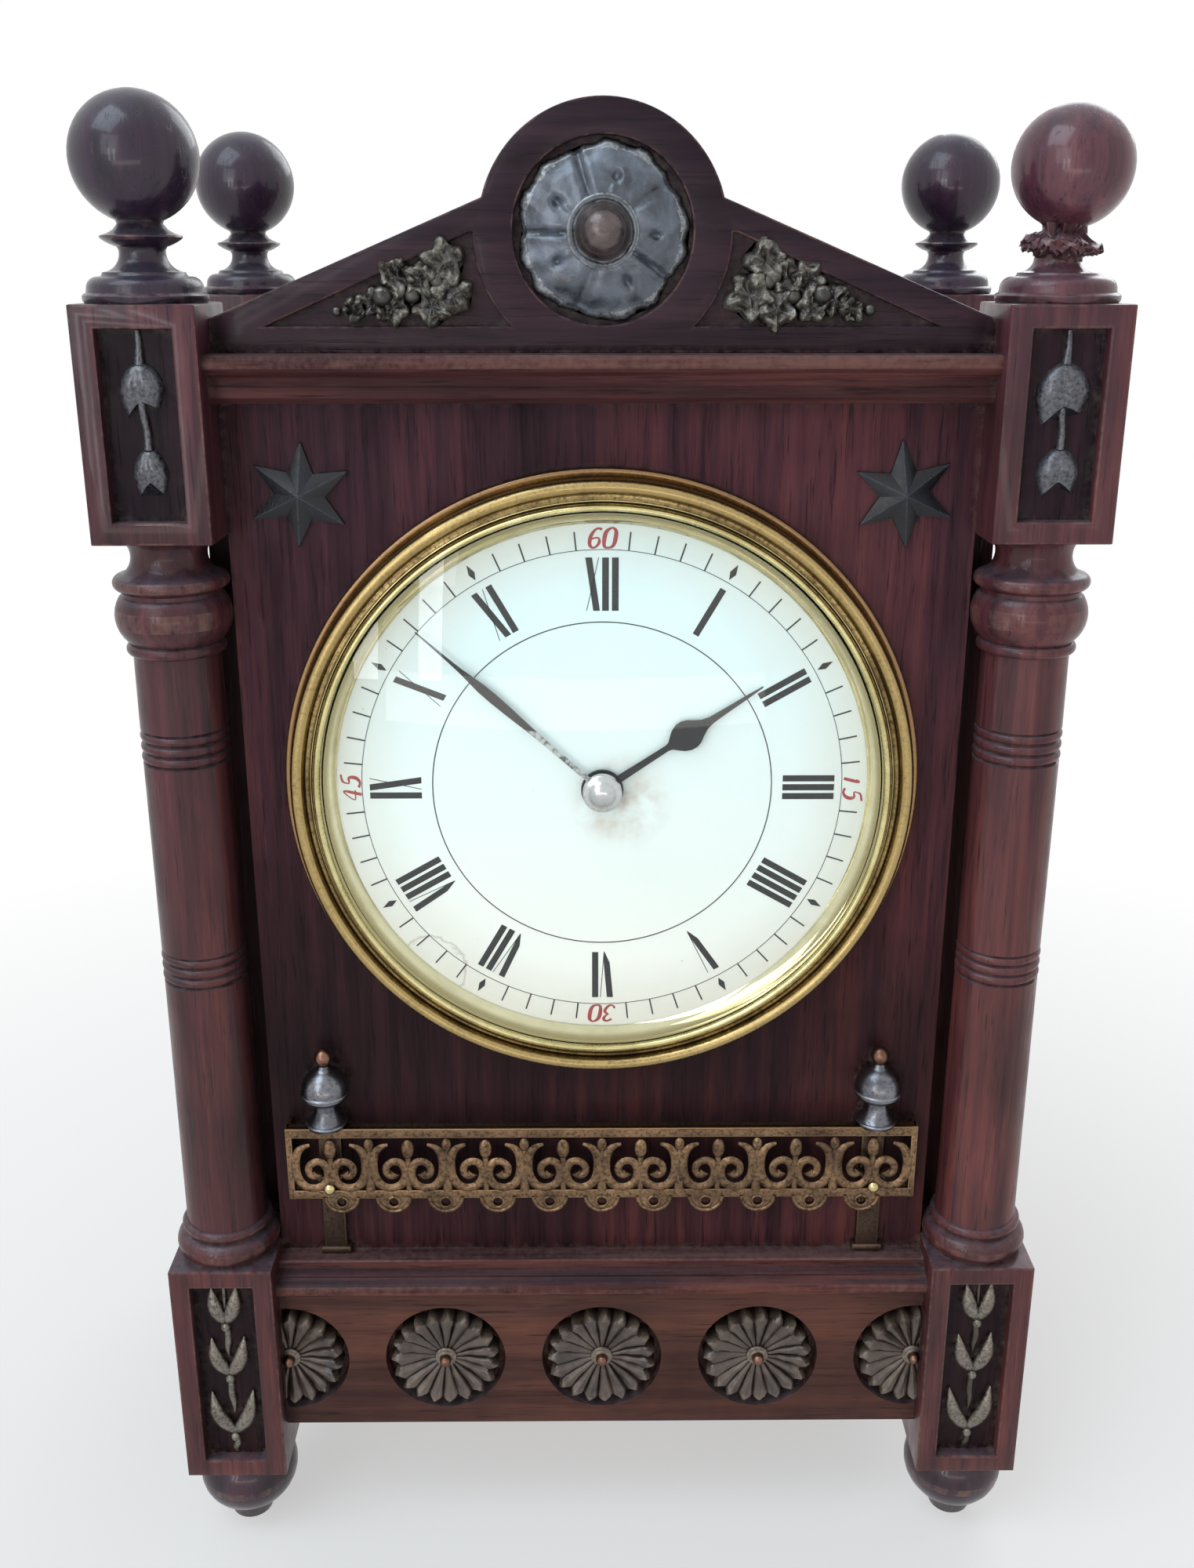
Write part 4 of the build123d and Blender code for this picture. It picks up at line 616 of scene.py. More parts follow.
def arc(start: Point, through: Point, end: Point, steps: int) -> list[Point]:
    """Points on the circle through three points, without the first.

    Args:
        start: First point.
        through: Point on the way.
        end: Last point.
        steps: Number of points.

    Returns:
        The points.
    """
    (ax, ay), (bx, by), (cx, cy) = start, through, end
    spread = 2 * (ax * (by - cy) + bx * (cy - ay) + cx * (ay - by))
    if abs(spread) < 1e-9:
        return [end]
    a2, b2, c2 = ax * ax + ay * ay, bx * bx + by * by, cx * cx + cy * cy
    ox = (a2 * (by - cy) + b2 * (cy - ay) + c2 * (ay - by)) / spread
    oy = (a2 * (cx - bx) + b2 * (ax - cx) + c2 * (bx - ax)) / spread
    radius = math.hypot(ax - ox, ay - oy)
    first, middle, last = (math.atan2(y - oy, x - ox) for x, y in (start, through, end))
    turn = (last - first) % (2 * math.pi)
    if (middle - first) % (2 * math.pi) > turn:
        turn -= 2 * math.pi
    return [(ox + radius * math.cos(first + turn * k / steps),
             oy + radius * math.sin(first + turn * k / steps))
            for k in range(1, steps + 1)]


def outline(stations: Stations, steps: int = 8) -> list[Point]:
    """Points of an outline. A station with a third value arcs there through that reach at half height, or at a
    fourth value's height.

    Args:
        stations: Reach and height, and the arc's values.
        steps: Points in each arc.

    Returns:
        The points.
    """
    points: list[Point] = []
    for reach, height, *through in stations:
        if through:
            middle = through[1] if len(through) > 1 else (points[-1][1] + height) / 2
            points += arc(points[-1], (through[0], middle), (reach, height), steps)
        else:
            points.append((reach, height))
    return points


def only(geom: Iterable, kind: type) -> list:
    """Elements of one kind among an operator's results."""
    return [element for element in geom if isinstance(element, kind)]


def edges_of(verts: Iterable[Vert]) -> list[Edge]:
    """Edges that end at some vertices."""
    return list({edge for vert in verts for edge in vert.link_edges})


class Piece:
    """One mesh in the making, in millimetres, which ends as an object that rides on a body."""

    def __init__(self, name: str) -> None:
        """Starts an empty mesh.

        Args:
            name: Name of the piece.
        """
        self.name = name
        self.bm = bmesh.new()
        self.worn = self.bm.faces.layers.float.new("worn")

    def since(self, before: set[Vert]) -> list[Vert]:
        """Vertices that were not there before."""
        return [vert for vert in self.bm.verts if vert not in before]

    def around(self, verts: Iterable[Vert]) -> set[Face]:
        """Faces that touch some vertices."""
        return {face for vert in verts for face in vert.link_faces}

    def wear(self, faces: Iterable[Face], amount: float = 1.0) -> None:
        """Marks faces as rubbed."""
        for face in faces:
            face[self.worn] = amount

    def paint(self, faces: Iterable[Face], index: int) -> None:
        """Gives faces one of the piece's materials."""
        for face in faces:
            face.material_index = index

    def soften(self, edges: Sequence[Edge], size: float, segments: int = 2, wear: float = 1.0,
               clamp: bool = False) -> None:
        """Rounds edges and marks the rounding as rubbed.

        Args:
            edges: Edges to round.
            size: Size of the rounding.
            segments: Facets of the rounding.
            wear: Wear on it.
            clamp: Whether roundings stop where they would meet.
        """
        self.wear(bmesh.ops.bevel(self.bm, geom=edges, offset=size, segments=segments, profile=0.5,
                                  affect="EDGES", material=-1, clamp_overlap=clamp)["faces"], wear)

    def fill(self, edges: Sequence[Edge], facing: int = -1) -> list[Face]:
        """Closes rings of edges in one upright plane with triangles.

        Args:
            edges: The rings.
            facing: Side along y that the faces look to.

        Returns:
            The new faces.
        """
        return only(bmesh.ops.triangle_fill(self.bm, use_beauty=True, use_dissolve=False, edges=edges,
                                            normal=(0, facing, 0))["geom"], Face)

    def lathe(self, places: Iterable[Sequence[float]], centre: Sequence[float], axis: Sequence[float],
              steps: int, join: float = 1e-4) -> list[Vert]:
        """Spins a line of points all the way round and closes its seam and poles.

        Args:
            places: Points of the line.
            centre: Point on the axis.
            axis: Direction of the axis.
            steps: Facets round it.
            join: Distance at which points become one.

        Returns:
            The new vertices.
        """
        before = set(self.bm.verts)
        line = [self.bm.verts.new(place) for place in places]
        edges = [self.bm.edges.new(pair) for pair in zip(line, line[1:])]
        bmesh.ops.spin(self.bm, geom=line + edges, cent=centre, axis=axis, dvec=(0, 0, 0), angle=2 * math.pi,
                       steps=steps, use_merge=True, use_duplicate=False)
        bmesh.ops.remove_doubles(self.bm, verts=self.since(before), dist=join)
        return self.since(before)

    def turn(self, stations: Stations, centre: Sequence[float], axis: Axis = Axis.HEIGHT, steps: int = 72,
             curve: int = 8, rubbed: Sequence[tuple[float, float]] = ()) -> list[Vert]:
        """Turns an outline round an axis.

        Args:
            stations: Outline as reach and height along the axis.
            centre: Point on the axis; its own height is not used.
            axis: Axis of the lathe.
            steps: Facets round the piece.
            curve: Points in each arc of the outline.
            rubbed: Ranges of height whose faces are worn.

        Returns:
            The new vertices.
        """
        upright = axis is Axis.HEIGHT
        places = [(centre[0] + reach, *((centre[1], height) if upright else (height, centre[2])))
                  for reach, height in outline(stations, curve)]
        made = self.lathe(places, centre, (0, 0, 1) if upright else (0, 1, 0), steps)
        self.wear(face for face in self.around(made) if any(
            low <= face.calc_center_median()[2 if upright else 1] <= high for low, high in rubbed))
        return made

    def box(self, low: Sequence[float], high: Sequence[float], round_by: float = 0.4, segments: int = 2,
            wear: float = 1.0) -> None:
        """Board with rounded and rubbed edges.

        Args:
            low: Lowest corner.
            high: Highest corner.
            round_by: Size of the rounding.
            segments: Facets of the rounding.
            wear: Wear on the rounding.
        """
        size = Vector(high) - Vector(low)
        place = Matrix.Translation((Vector(low) + Vector(high)) / 2) @ Matrix.Diagonal((*size, 1))
        made = bmesh.ops.create_cube(self.bm, size=1, matrix=place)["verts"]
        self.soften(edges_of(made), round_by, segments, wear)

    def loop(self, points: Sequence[Point], y: float) -> list[Edge]:
        """Closed ring of edges in a plane square to the front.

        Args:
            points: Places as x and z.
            y: Depth of the plane.

        Returns:
            The edges.
        """
        verts = [self.bm.verts.new((x, y, z)) for x, z in points]
        return [self.bm.edges.new(pair) for pair in zip(verts, verts[1:] + verts[:1])]

    def board(self, edge: Sequence[Point], front: float, back: float,
              holes: Sequence[tuple[Sequence[Point], float]], round_by: float = 0.35) -> list[Vert]:
        """Board cut to an outline, with sunk recesses and rubbed rims.

        Args:
            edge: Outline as x and z.
            front: Depth of the front face.
            back: Depth of the rear face.
            holes: Outlines of the recesses, each with its floor's depth.
            round_by: Size of the rounding on the rims.

        Returns:
            The new vertices.
        """
        before = set(self.bm.verts)
        rings = [(self.loop(edge, front), back)] + [(self.loop(hole, front), floor) for hole, floor in holes]
        rims = [e for ring, _ in rings for e in ring]
        self.fill(rims)
        for ring, depth in rings:
            made = bmesh.ops.extrude_edge_only(self.bm, edges=ring)["geom"]
            verts = set(only(made, Vert))
            for vert in verts:
                vert.co.y = depth
            self.fill([e for e in only(made, Edge) if verts.issuperset(e.verts)])
        self.soften([e for e in rims if e.is_valid], round_by, clamp=True)
        return self.since(before)

    def plate(self, edge: Sequence[Point], hole: Sequence[Point], front: float, back: float) -> None:
        """Flat plate with one hole right through.

        Args:
            edge: Outline as x and z.
            hole: Outline of the hole.
            front: Depth of the front face.
            back: Depth of the rear face.
        """
        made = self.fill(self.loop(edge, front) + self.loop(hole, front))
        for vert in only(bmesh.ops.extrude_face_region(self.bm, geom=made)["geom"], Vert):
            vert.co.y = back

    def sweep(self, stations: Stations, start: Vector, run: Vector, out: Vector, curve: int = 8,
              rubbed: Sequence[tuple[float, float]] = ()) -> set[Face]:
        """Moulding: an outline of reach and height, run straight.

        Args:
            stations: Outline, closed along the board that carries it.
            start: Foot of the outline at one end.
            run: Vector to the other end.
            out: Direction of the reach.
            curve: Points in each arc.
            rubbed: Ranges of height whose faces are worn.

        Returns:
            The new faces.
        """
        points = outline(stations, curve)
        closed = [(0.0, points[0][1])] + points + [(0.0, points[-1][1])]
        before = set(self.bm.verts)
        verts = [self.bm.verts.new(start + out * reach + Vector((0, 0, height))) for reach, height in closed]
        face = self.bm.faces.new(verts)
        made = bmesh.ops.extrude_face_region(self.bm, geom=[face])["geom"]
        bmesh.ops.translate(self.bm, vec=run, verts=only(made, Vert))
        swept = self.around(self.since(before))
        self.wear(face for face in swept if len(face.verts) == 4 and any(
            low <= face.calc_center_median().z <= high for low, high in rubbed))
        return swept

    def polar(self, radius: float, rings: int, steps: int, centre: Sequence[float],
              shape: Callable[[float, float], tuple[float, float]], floor: float) -> list[Vert]:
        """Round carving that faces the front: a disc whose points are moved by a rule.

        Args:
            radius: Outer radius.
            rings: Rings of facets.
            steps: Facets round it.
            centre: Centre of the disc; its y is not used.
            shape: Gives scale of the radius and height from share of radius and angle.
            floor: Depth of the ground that it stands on.

        Returns:
            The new vertices.
        """
        before = set(self.bm.verts)
        disc = self.lathe([(centre[0] + radius * k / rings, floor, centre[2]) for k in range(rings + 1)],
                          (centre[0], floor, centre[2]), (0, 1, 0), steps)
        skirt = bmesh.ops.extrude_edge_only(self.bm,
                                            edges=[e for e in edges_of(disc) if e.is_boundary])["geom"]
        low = set(only(skirt, Vert))
        self.fill([e for e in only(skirt, Edge) if low.issuperset(e.verts)], 1)
        for vert in self.since(before):
            dx, dz = vert.co.x - centre[0], vert.co.z - centre[2]
            share, angle = math.hypot(dx, dz) / radius, math.atan2(dz, dx)
            scale, height = shape(share, angle)
            vert.co.x, vert.co.z = centre[0] + dx * scale, centre[2] + dz * scale
            vert.co.y = floor if vert in low else floor - height
        return self.since(before)

    def slice(self, verts: Sequence[Vert], place: Sequence[float], away: Sequence[float]) -> None:
        """Cuts off what lies past a plane and closes the cut.

        Args:
            verts: Vertices of what is cut.
            place: Point on the plane.
            away: Direction of what goes.
        """
        geom = list(verts) + edges_of(verts) + list(self.around(verts))
        cut = bmesh.ops.bisect_plane(self.bm, geom=geom, plane_co=place, plane_no=away, clear_outer=True,
                                     dist=1e-4)["geom_cut"]
        bmesh.ops.holes_fill(self.bm, edges=only(cut, Edge), sides=0)

    def ball(self, radius: float, centre: Sequence[float], squash: Sequence[float] = (1, 1, 1),
             detail: int = 3) -> list[Vert]:
        """Round bead.

        Args:
            radius: Radius.
            centre: Centre.
            squash: Scale on each axis.
            detail: Subdivisions.

        Returns:
            The new vertices.
        """
        before = set(self.bm.verts)
        place = Matrix.Translation(centre) @ Matrix.Diagonal((*squash, 1))
        bmesh.ops.create_icosphere(self.bm, subdivisions=detail, radius=radius, matrix=place)
        return self.since(before)

    def strand(self, points: Sequence[Sequence[float]], widths: Sequence[float], flat: float = 1.0) -> None:
        """Smooth rounded strand through points, thicker or thinner on the way.

        Args:
            points: Places along it.
            widths: Half width at each place.
            flat: Depth of its section as a share of its width.
        """
        curve = bpy.data.curves.new("strand", "CURVE")
        curve.dimensions = "3D"
        curve.bevel_depth = 1.0
        curve.bevel_resolution = 3
        curve.resolution_u = 6
        curve.use_fill_caps = True
        spline = curve.splines.new("NURBS")
        spline.points.add(len(points) - 1)
        for point, place, width in zip(spline.points, points, widths):
            point.co = (*place, 1.0)
            point.radius = width
        spline.order_u = 3
        spline.use_endpoint_u = True
        holder = bpy.data.objects.new("strand", curve)
        bpy.context.scene.collection.objects.link(holder)
        mesh = bpy.data.meshes.new_from_object(holder.evaluated_get(bpy.context.evaluated_depsgraph_get()))
        bpy.data.objects.remove(holder)
        bpy.data.curves.remove(curve)
        before = set(self.bm.verts)
        self.bm.from_mesh(mesh)
        bpy.data.meshes.remove(mesh)
        middle = points[0][1]
        for vert in self.since(before):
            vert.co.y = middle + (vert.co.y - middle) * flat

    def done(self, looks: Sequence[str], body: str = "case", stands_for: Sequence[str] = (),
             crease: float = 38.0) -> None:
        """Makes the object.

        Args:
            looks: Finish names, by material index.
            body: Body that it rides on.
            stands_for: CAD nodes that it replaces.
            crease: Angle in degrees past which an edge stays sharp.
        """
        bmesh.ops.recalc_face_normals(self.bm, faces=self.bm.faces)
        bmesh.ops.scale(self.bm, vec=(MM, MM, MM), verts=self.bm.verts)
        mesh = bpy.data.meshes.new(self.name)
        self.bm.to_mesh(mesh)
        self.bm.free()
        for look in looks:
            mesh.materials.append(Palette.get(look))
        mesh.polygons.foreach_set("use_smooth", [True] * len(mesh.polygons))
        mesh.set_sharp_from_angle(angle=math.radians(crease))
        made = bpy.data.objects.new(self.name, mesh)
        bpy.context.scene.collection.objects.link(made)
        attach(made, body)
        if stands_for:
            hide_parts(*stands_for)
        LOG.info("%s: %d faces on %s", self.name, len(mesh.polygons), body)


def ring_points(centre: Point, radius: float, steps: int, start: float = 0.0,
                sweep: float = 360.0) -> list[Point]:
    """Points round a circle.

    Args:
        centre: Centre as x and z.
        radius: Radius.
        steps: Number of points.
        start: First angle in degrees.
        sweep: Angle covered in degrees.

    Returns:
        The points.
    """
    gaps = steps if abs(sweep) >= 360 else steps - 1
    angles = [math.radians(start + sweep * k / gaps) for k in range(steps)]
    return [(centre[0] + radius * math.cos(a), centre[1] + radius * math.sin(a)) for a in angles]


def rectangle(low: Point, high: Point) -> list[Point]:
    """Corners of an upright rectangle, as x and z."""
    return [(low[0], low[1]), (high[0], low[1]), (high[0], high[1]), (low[0], high[1])]


@dataclass
class CaseSizes:
    """Main stations of the case."""

    post_x: float = 78.3
    post_y: float = 43.4
    half: float = 10.6
    panel: float = -42.0
    inner_x: float = 67.7
    inner_y: float = 32.8
    board: float = 6.0
    foot: float = 17.7
    lower_top: float = 69.4
    upper_foot: float = 218.6
    upper_top: float = 258.8
    case_foot: float = 27.2
    case_top: float = 250.5
    plinth_top: float = 60.7
    ledge: float = 66.6
    dial_z: float = 170.7
    sockets: tuple[float, ...] = (-66.4, -33.2, 0.0, 33.2, 66.4)
    socket_z: float = 43.95


@dataclass
class CornerPosts:
    """Four posts: square blocks with a turned column between them."""

    case: CaseSizes
    shaft: float = 8.0
    recess_half: float = 6.4
    recess_margin: float = 4.0
    recess_depth: float = 2.6
    band_rises: tuple[float, float] = (65.65, 110.4)

    def column(self) -> Stations:
        """Outline of the column from the lower block to the upper one.

        Returns:
            Stations of reach and height.
        """
        low, top = self.case.lower_top, self.case.upper_foot
        line = [(9.3, low - 0.2), (9.3, low + 0.3), (9.4, low + 4.7, 10.5), (8.5, low + 5.0),
                (8.1, low + 5.3), (8.1, low + 5.5), (8.2, low + 7.6, 9.2), (self.shaft + 0.15, low + 7.9)]
        for rise in self.band_rises:
            foot = low + rise - 3.1
            line += [(self.shaft, foot - 0.25), (7.35, foot)]
            for bead in range(3):
                bottom = foot + bead * 2.07
                line += [(7.45, bottom + 0.12), (7.45, bottom + 1.95, 8.15), (7.35, bottom + 2.07)]
            line += [(self.shaft, foot + 6.45)]
        line += [(self.shaft - 0.1, top - 21.3), (8.1, top - 19.0, 9.0), (8.5, top - 18.9), (8.7, top - 18.6),
                 (9.5, top - 10.6, 10.5), (9.0, top - 10.3), (9.0, top - 9.6), (9.4, top - 9.3),
                 (9.3, top - 6.6, 10.4), (8.3, top - 6.3), (7.9, top - 0.4, 6.8), (8.4, top + 0.2)]
        return line

    def block(self, piece: Piece, x: float, y: float, low: float, high: float, sunk: bool) -> None:
        """Square block, with a sunk panel on the front posts.

        Args:
            piece: Piece that takes it.
            x: Centre.
            y: Centre.
            low: Bottom.
            high: Top.
            sunk: Whether its front has the panel.
        """
        half = self.case.half
        holes = []
        if sunk:
            inner, margin = self.recess_half, self.recess_margin
            holes = [(rectangle((x - inner, low + margin), (x + inner, high - margin)),
                      y - half + self.recess_depth)]
        made = piece.board(rectangle((x - half, low), (x + half, high)), y - half, y + half, holes, 0.45)
        rest = [e for e in edges_of(made) if len(e.link_faces) == 2
                and e.calc_face_angle(0.0) > 1.2 and (
                    all(abs(v.co.y - y - half) < 1e-4 for v in e.verts)
                    or (abs(e.verts[0].co.y - e.verts[1].co.y) > half
                        and all(abs(abs(v.co.x - x) - half) < 1e-3 for v in e.verts)))]
        bmesh.ops.recalc_face_normals(piece.bm, faces=list(piece.around(made)))
        piece.soften(rest, 0.4)
        for _, depth in holes:
            piece.paint([face for face in piece.bm.faces if abs(face.calc_center_median().y - depth) < 0.05],
                        1)

    def build(self) -> None:
        """Builds the four posts."""
        for name, side_x, side_y in CORNERS:
            x, y = side_x * self.case.post_x, side_y * self.case.post_y
            piece = Piece(f"oak_post_{name}")
            self.block(piece, x, y, self.case.foot, self.case.lower_top, side_y < 0)
            self.block(piece, x, y, self.case.upper_foot, self.case.upper_top, side_y < 0)
            low = self.case.lower_top
            piece.turn(self.column(), (x, y, 0), steps=80, rubbed=[
                (low + 1.8, low + 3.2), (low + 6.2, low + 7.0),
                (self.case.upper_foot - 16, self.case.upper_foot - 13),
                (self.case.upper_foot - 8.6, self.case.upper_foot - 7.2)])
            piece.done(["oak_post", "oak_recess"], stands_for=[f"post_{name}"])


CORNERS = (("front_left", -1, -1), ("front_right", 1, -1), ("rear_left", -1, 1), ("rear_right", 1, 1))


@dataclass
class BallFinials:
    """Four ball finials; the neck of the right front one has been broken and set back askew."""

    case: CaseSizes
    radius: float = 10.7
    broken_radius: float = 10.1
    lean: float = 5.0
    centre_rise: float = 23.26

    def stations(self, radius: float) -> Stations:
        """Outline from the block's top to the top of the ball.

        Args:
            radius: Radius of the ball.

        Returns:
            Stations of reach and height.
        """
        top = self.case.upper_top
        ball = top + self.centre_rise
        seat = math.sqrt(radius ** 2 - 4.0 ** 2)
        return [(10.2, top), (10.55, top + 0.4), (10.6, top + 1.2), (10.3, top + 1.5), (9.9, top + 1.7),
                (9.8, top + 2.2),
                (7.4, top + 4.3, 9.2, top + 3.7), (7.1, top + 4.5), (6.9, top + 5.0),
                (3.9, top + 8.6, 4.5, top + 6.3), (4.2, top + 9.1), (6.6, top + 10.3, 5.0, top + 9.4),
                (6.9, top + 10.6), (6.8, top + 10.9), (4.5, top + 11.9, 5.8, top + 11.2), (3.8, top + 12.8),
                (4.0, ball - seat), (radius, ball, radius * 0.80, ball - radius * 0.60),
                (0.0, ball + radius, radius * 0.7071, ball + radius * 0.7071)]

    def build(self) -> None:
        """Builds the four finials."""
        for name, side_x, side_y in CORNERS:
            x, y = side_x * self.case.post_x, side_y * self.case.post_y
            top = self.case.upper_top
            piece = Piece(f"ball_finial_{name}")
            broken = name == "front_right"
            verts = piece.turn(self.stations(self.broken_radius if broken else self.radius), (x, y, 0),
                               steps=72, curve=12, rubbed=[(top + 0.9, top + 1.8), (top + 10.2, top + 11.0)])
            if broken:
                self.break_neck(verts, x, y)
            piece.done(["oak_red_turning" if broken else "oak_turning"], stands_for=[f"finial_{name}"])

    def break_neck(self, verts: Sequence[Vert], x: float, y: float) -> None:
        """Splinters the collar and leans the ball.

        Args:
            verts: Vertices of the finial.
            x: Axis of the post.
            y: Axis of the post.
        """
        top = self.case.upper_top
        lean = Matrix.Rotation(math.radians(self.lean), 4, "Y")
        pivot = Vector((x, y, top + 6.0))
        for vert in verts:
            rise = vert.co.z - top
            if rise < 4.6:
                continue
            share = min(1.0, (rise - 4.6) / 3.6)
            moved = pivot + lean @ (vert.co - pivot) + Vector((-0.75, 0.0, -1.2))
            if 8.4 < rise < 13.2:
                away = Vector((vert.co.x - x, vert.co.y - y, 0.0))
                chip = noise.noise(Vector((vert.co.x * 0.42, vert.co.y * 0.42, rise * 0.5)))
                splinter = noise.noise(Vector((vert.co.x * 1.2, vert.co.y * 1.2, rise * 0.9)))
                moved -= away.normalized() * max(-0.5, 0.2 + 2.2 * chip + 1.3 * splinter) * 0.9
                moved.z += 1.2 * splinter
            vert.co = vert.co.lerp(moved, share)


@dataclass
class TurnedFeet:
    """Four bun feet with a peg below."""

    case: CaseSizes

    def build(self) -> None:
        """Builds the four feet as one piece."""
        piece = Piece("bun_feet")
        for _, side_x, side_y in CORNERS:
            piece.turn([(0.0, 0.0), (3.9, 0.0), (4.4, 0.5), (4.9, 4.2), (5.2, 4.6), (6.4, 4.8), (7.2, 5.2),
                        (8.9, 16.9, 10.5, 11.4), (8.2, 17.4), (8.2, 17.75), (0.0, 17.75)],
                       (side_x * self.case.post_x, side_y * self.case.post_y, 0), steps=64,
                       rubbed=[(0.0, 0.8), (10.5, 12.5)])
        piece.done(["oak_turning"], stands_for=["turned_feet"])


@dataclass
class Boards:
    """Panels, door and mouldings of the case."""

    case: CaseSizes
    socket_radius: float = 12.7
    socket_depth: float = 3.6
    rail: float = 7.0

    def runs(self) -> list[tuple[Vector, Vector, Vector]]:
        """Start, run and outward direction of the front and side mouldings.

        Returns:
            One row per run.
        """
        c = self.case
        side = c.inner_x + c.board
        return [(Vector((-c.inner_x, c.panel, 0)), Vector((2 * c.inner_x, 0, 0)), Vector((0, -1, 0))),
                (Vector((side, -c.inner_y, 0)), Vector((0, 2 * c.inner_y, 0)), Vector((1, 0, 0))),
                (Vector((-side, -c.inner_y, 0)), Vector((0, 2 * c.inner_y, 0)), Vector((-1, 0, 0)))]

    def mouldings(self) -> None:
        """Builds the cornice and the base moulding."""
        top, low = self.case.case_top, self.case.plinth_top
        cornice = [(5.4, top - 8.3), (5.6, top - 8.0), (6.5, top - 7.3), (6.5, top - 5.5), (6.7, top - 5.3),
                   (8.4, top - 3.3, 7.0, top - 4.0), (8.6, top - 3.1), (9.3, top, 10.0), (8.9, top)]
        base = [(8.0, low), (8.0, low + 3.3, 9.5), (7.5, low + 3.5), (7.2, low + 3.7), (7.2, low + 4.1),
                (6.8, low + 4.3), (4.9, low + 4.4), (4.7, low + 4.7), (4.6, low + 5.6), (4.3, low + 5.9),
                (0.2, low + 5.9)]
        for name, line, node, rubbed in (
                ("cornice_bead", cornice, "cornice_moulding", [(top - 2.4, top + 1)]),
                ("base_bead", base, "base_moulding", [(low + 0.9, low + 2.6), (low + 5.5, low + 6.0)])):
            piece = Piece(name)
            for start, run, out in self.runs():
                piece.paint(piece.sweep(line, start, run, out, rubbed=rubbed), int(abs(out.x)))
            piece.done(["oak_moulding", "oak_side_moulding"], stands_for=[node], crease=30)

    def plinth(self) -> None:
        """Builds the plinth rail with its five sockets, and its two side rails."""
        c = self.case
        piece = Piece("socketed_plinth_rail")
        front = c.panel - self.rail
        holes = []
        for x in c.sockets:
            ring = ring_points((x, c.socket_z), self.socket_radius, 64)
            limit = c.inner_x - 0.05
            kept = [(max(-limit, min(limit, px)), pz) for px, pz in ring]
            holes.append(([p for k, p in enumerate(kept) if abs(p[0]) < limit or abs(kept[k - 1][0]) < limit
                           or abs(kept[(k + 1) % 64][0]) < limit], front + self.socket_depth))
        piece.board(rectangle((-c.inner_x, c.case_foot), (c.inner_x, c.plinth_top)), front, c.panel, holes,
                    0.4)
        side = c.inner_x + c.board
        before = set(piece.bm.verts)
        for sign in (-1, 1):
            near, far = sorted((sign * side, sign * (side + self.rail)))
            piece.box((near, -c.inner_y, c.case_foot), (far, c.inner_y, c.plinth_top), 0.4)
        piece.paint(piece.around(piece.since(before)), 1)
        piece.done(["oak_rail", "oak_side_rail"], stands_for=["plinth_rail"], crease=30)

    def dress(self) -> None:
        """Gives the plain boards their finish, and rebuilds the back door as a board with rounded edges."""
        for node, look in (("front_panel", "oak_panel"), ("side_panel_left", "oak_side"),
                           ("side_panel_right", "oak_side"), ("top_board", "oak_top"),
                           ("base_board", "oak_inside"), ("glue_blocks", "oak_inside"),
                           ("back_frame", "oak_side")):
            dress_node(node, look)
        piece = Piece("back_door_board")
        low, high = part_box("back_door")
        piece.box([v / MM for v in low], [v / MM for v in high], 0.7, 3)
        piece.done(["oak_side"], "door_body", ["back_door"])

    def build(self) -> None:
        """Builds and dresses all of it."""
        self.mouldings()
        self.plinth()
        self.dress()


def dress_node(node: str, look: str) -> None:
    """Gives a CAD node a finish.

    Args:
        node: Node name.
        look: Finish name.
    """
    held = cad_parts[node]
    held.data.materials.clear()
    held.data.materials.append(Palette.get(look))
    LOG.info("%s: dressed in %s", node, look)


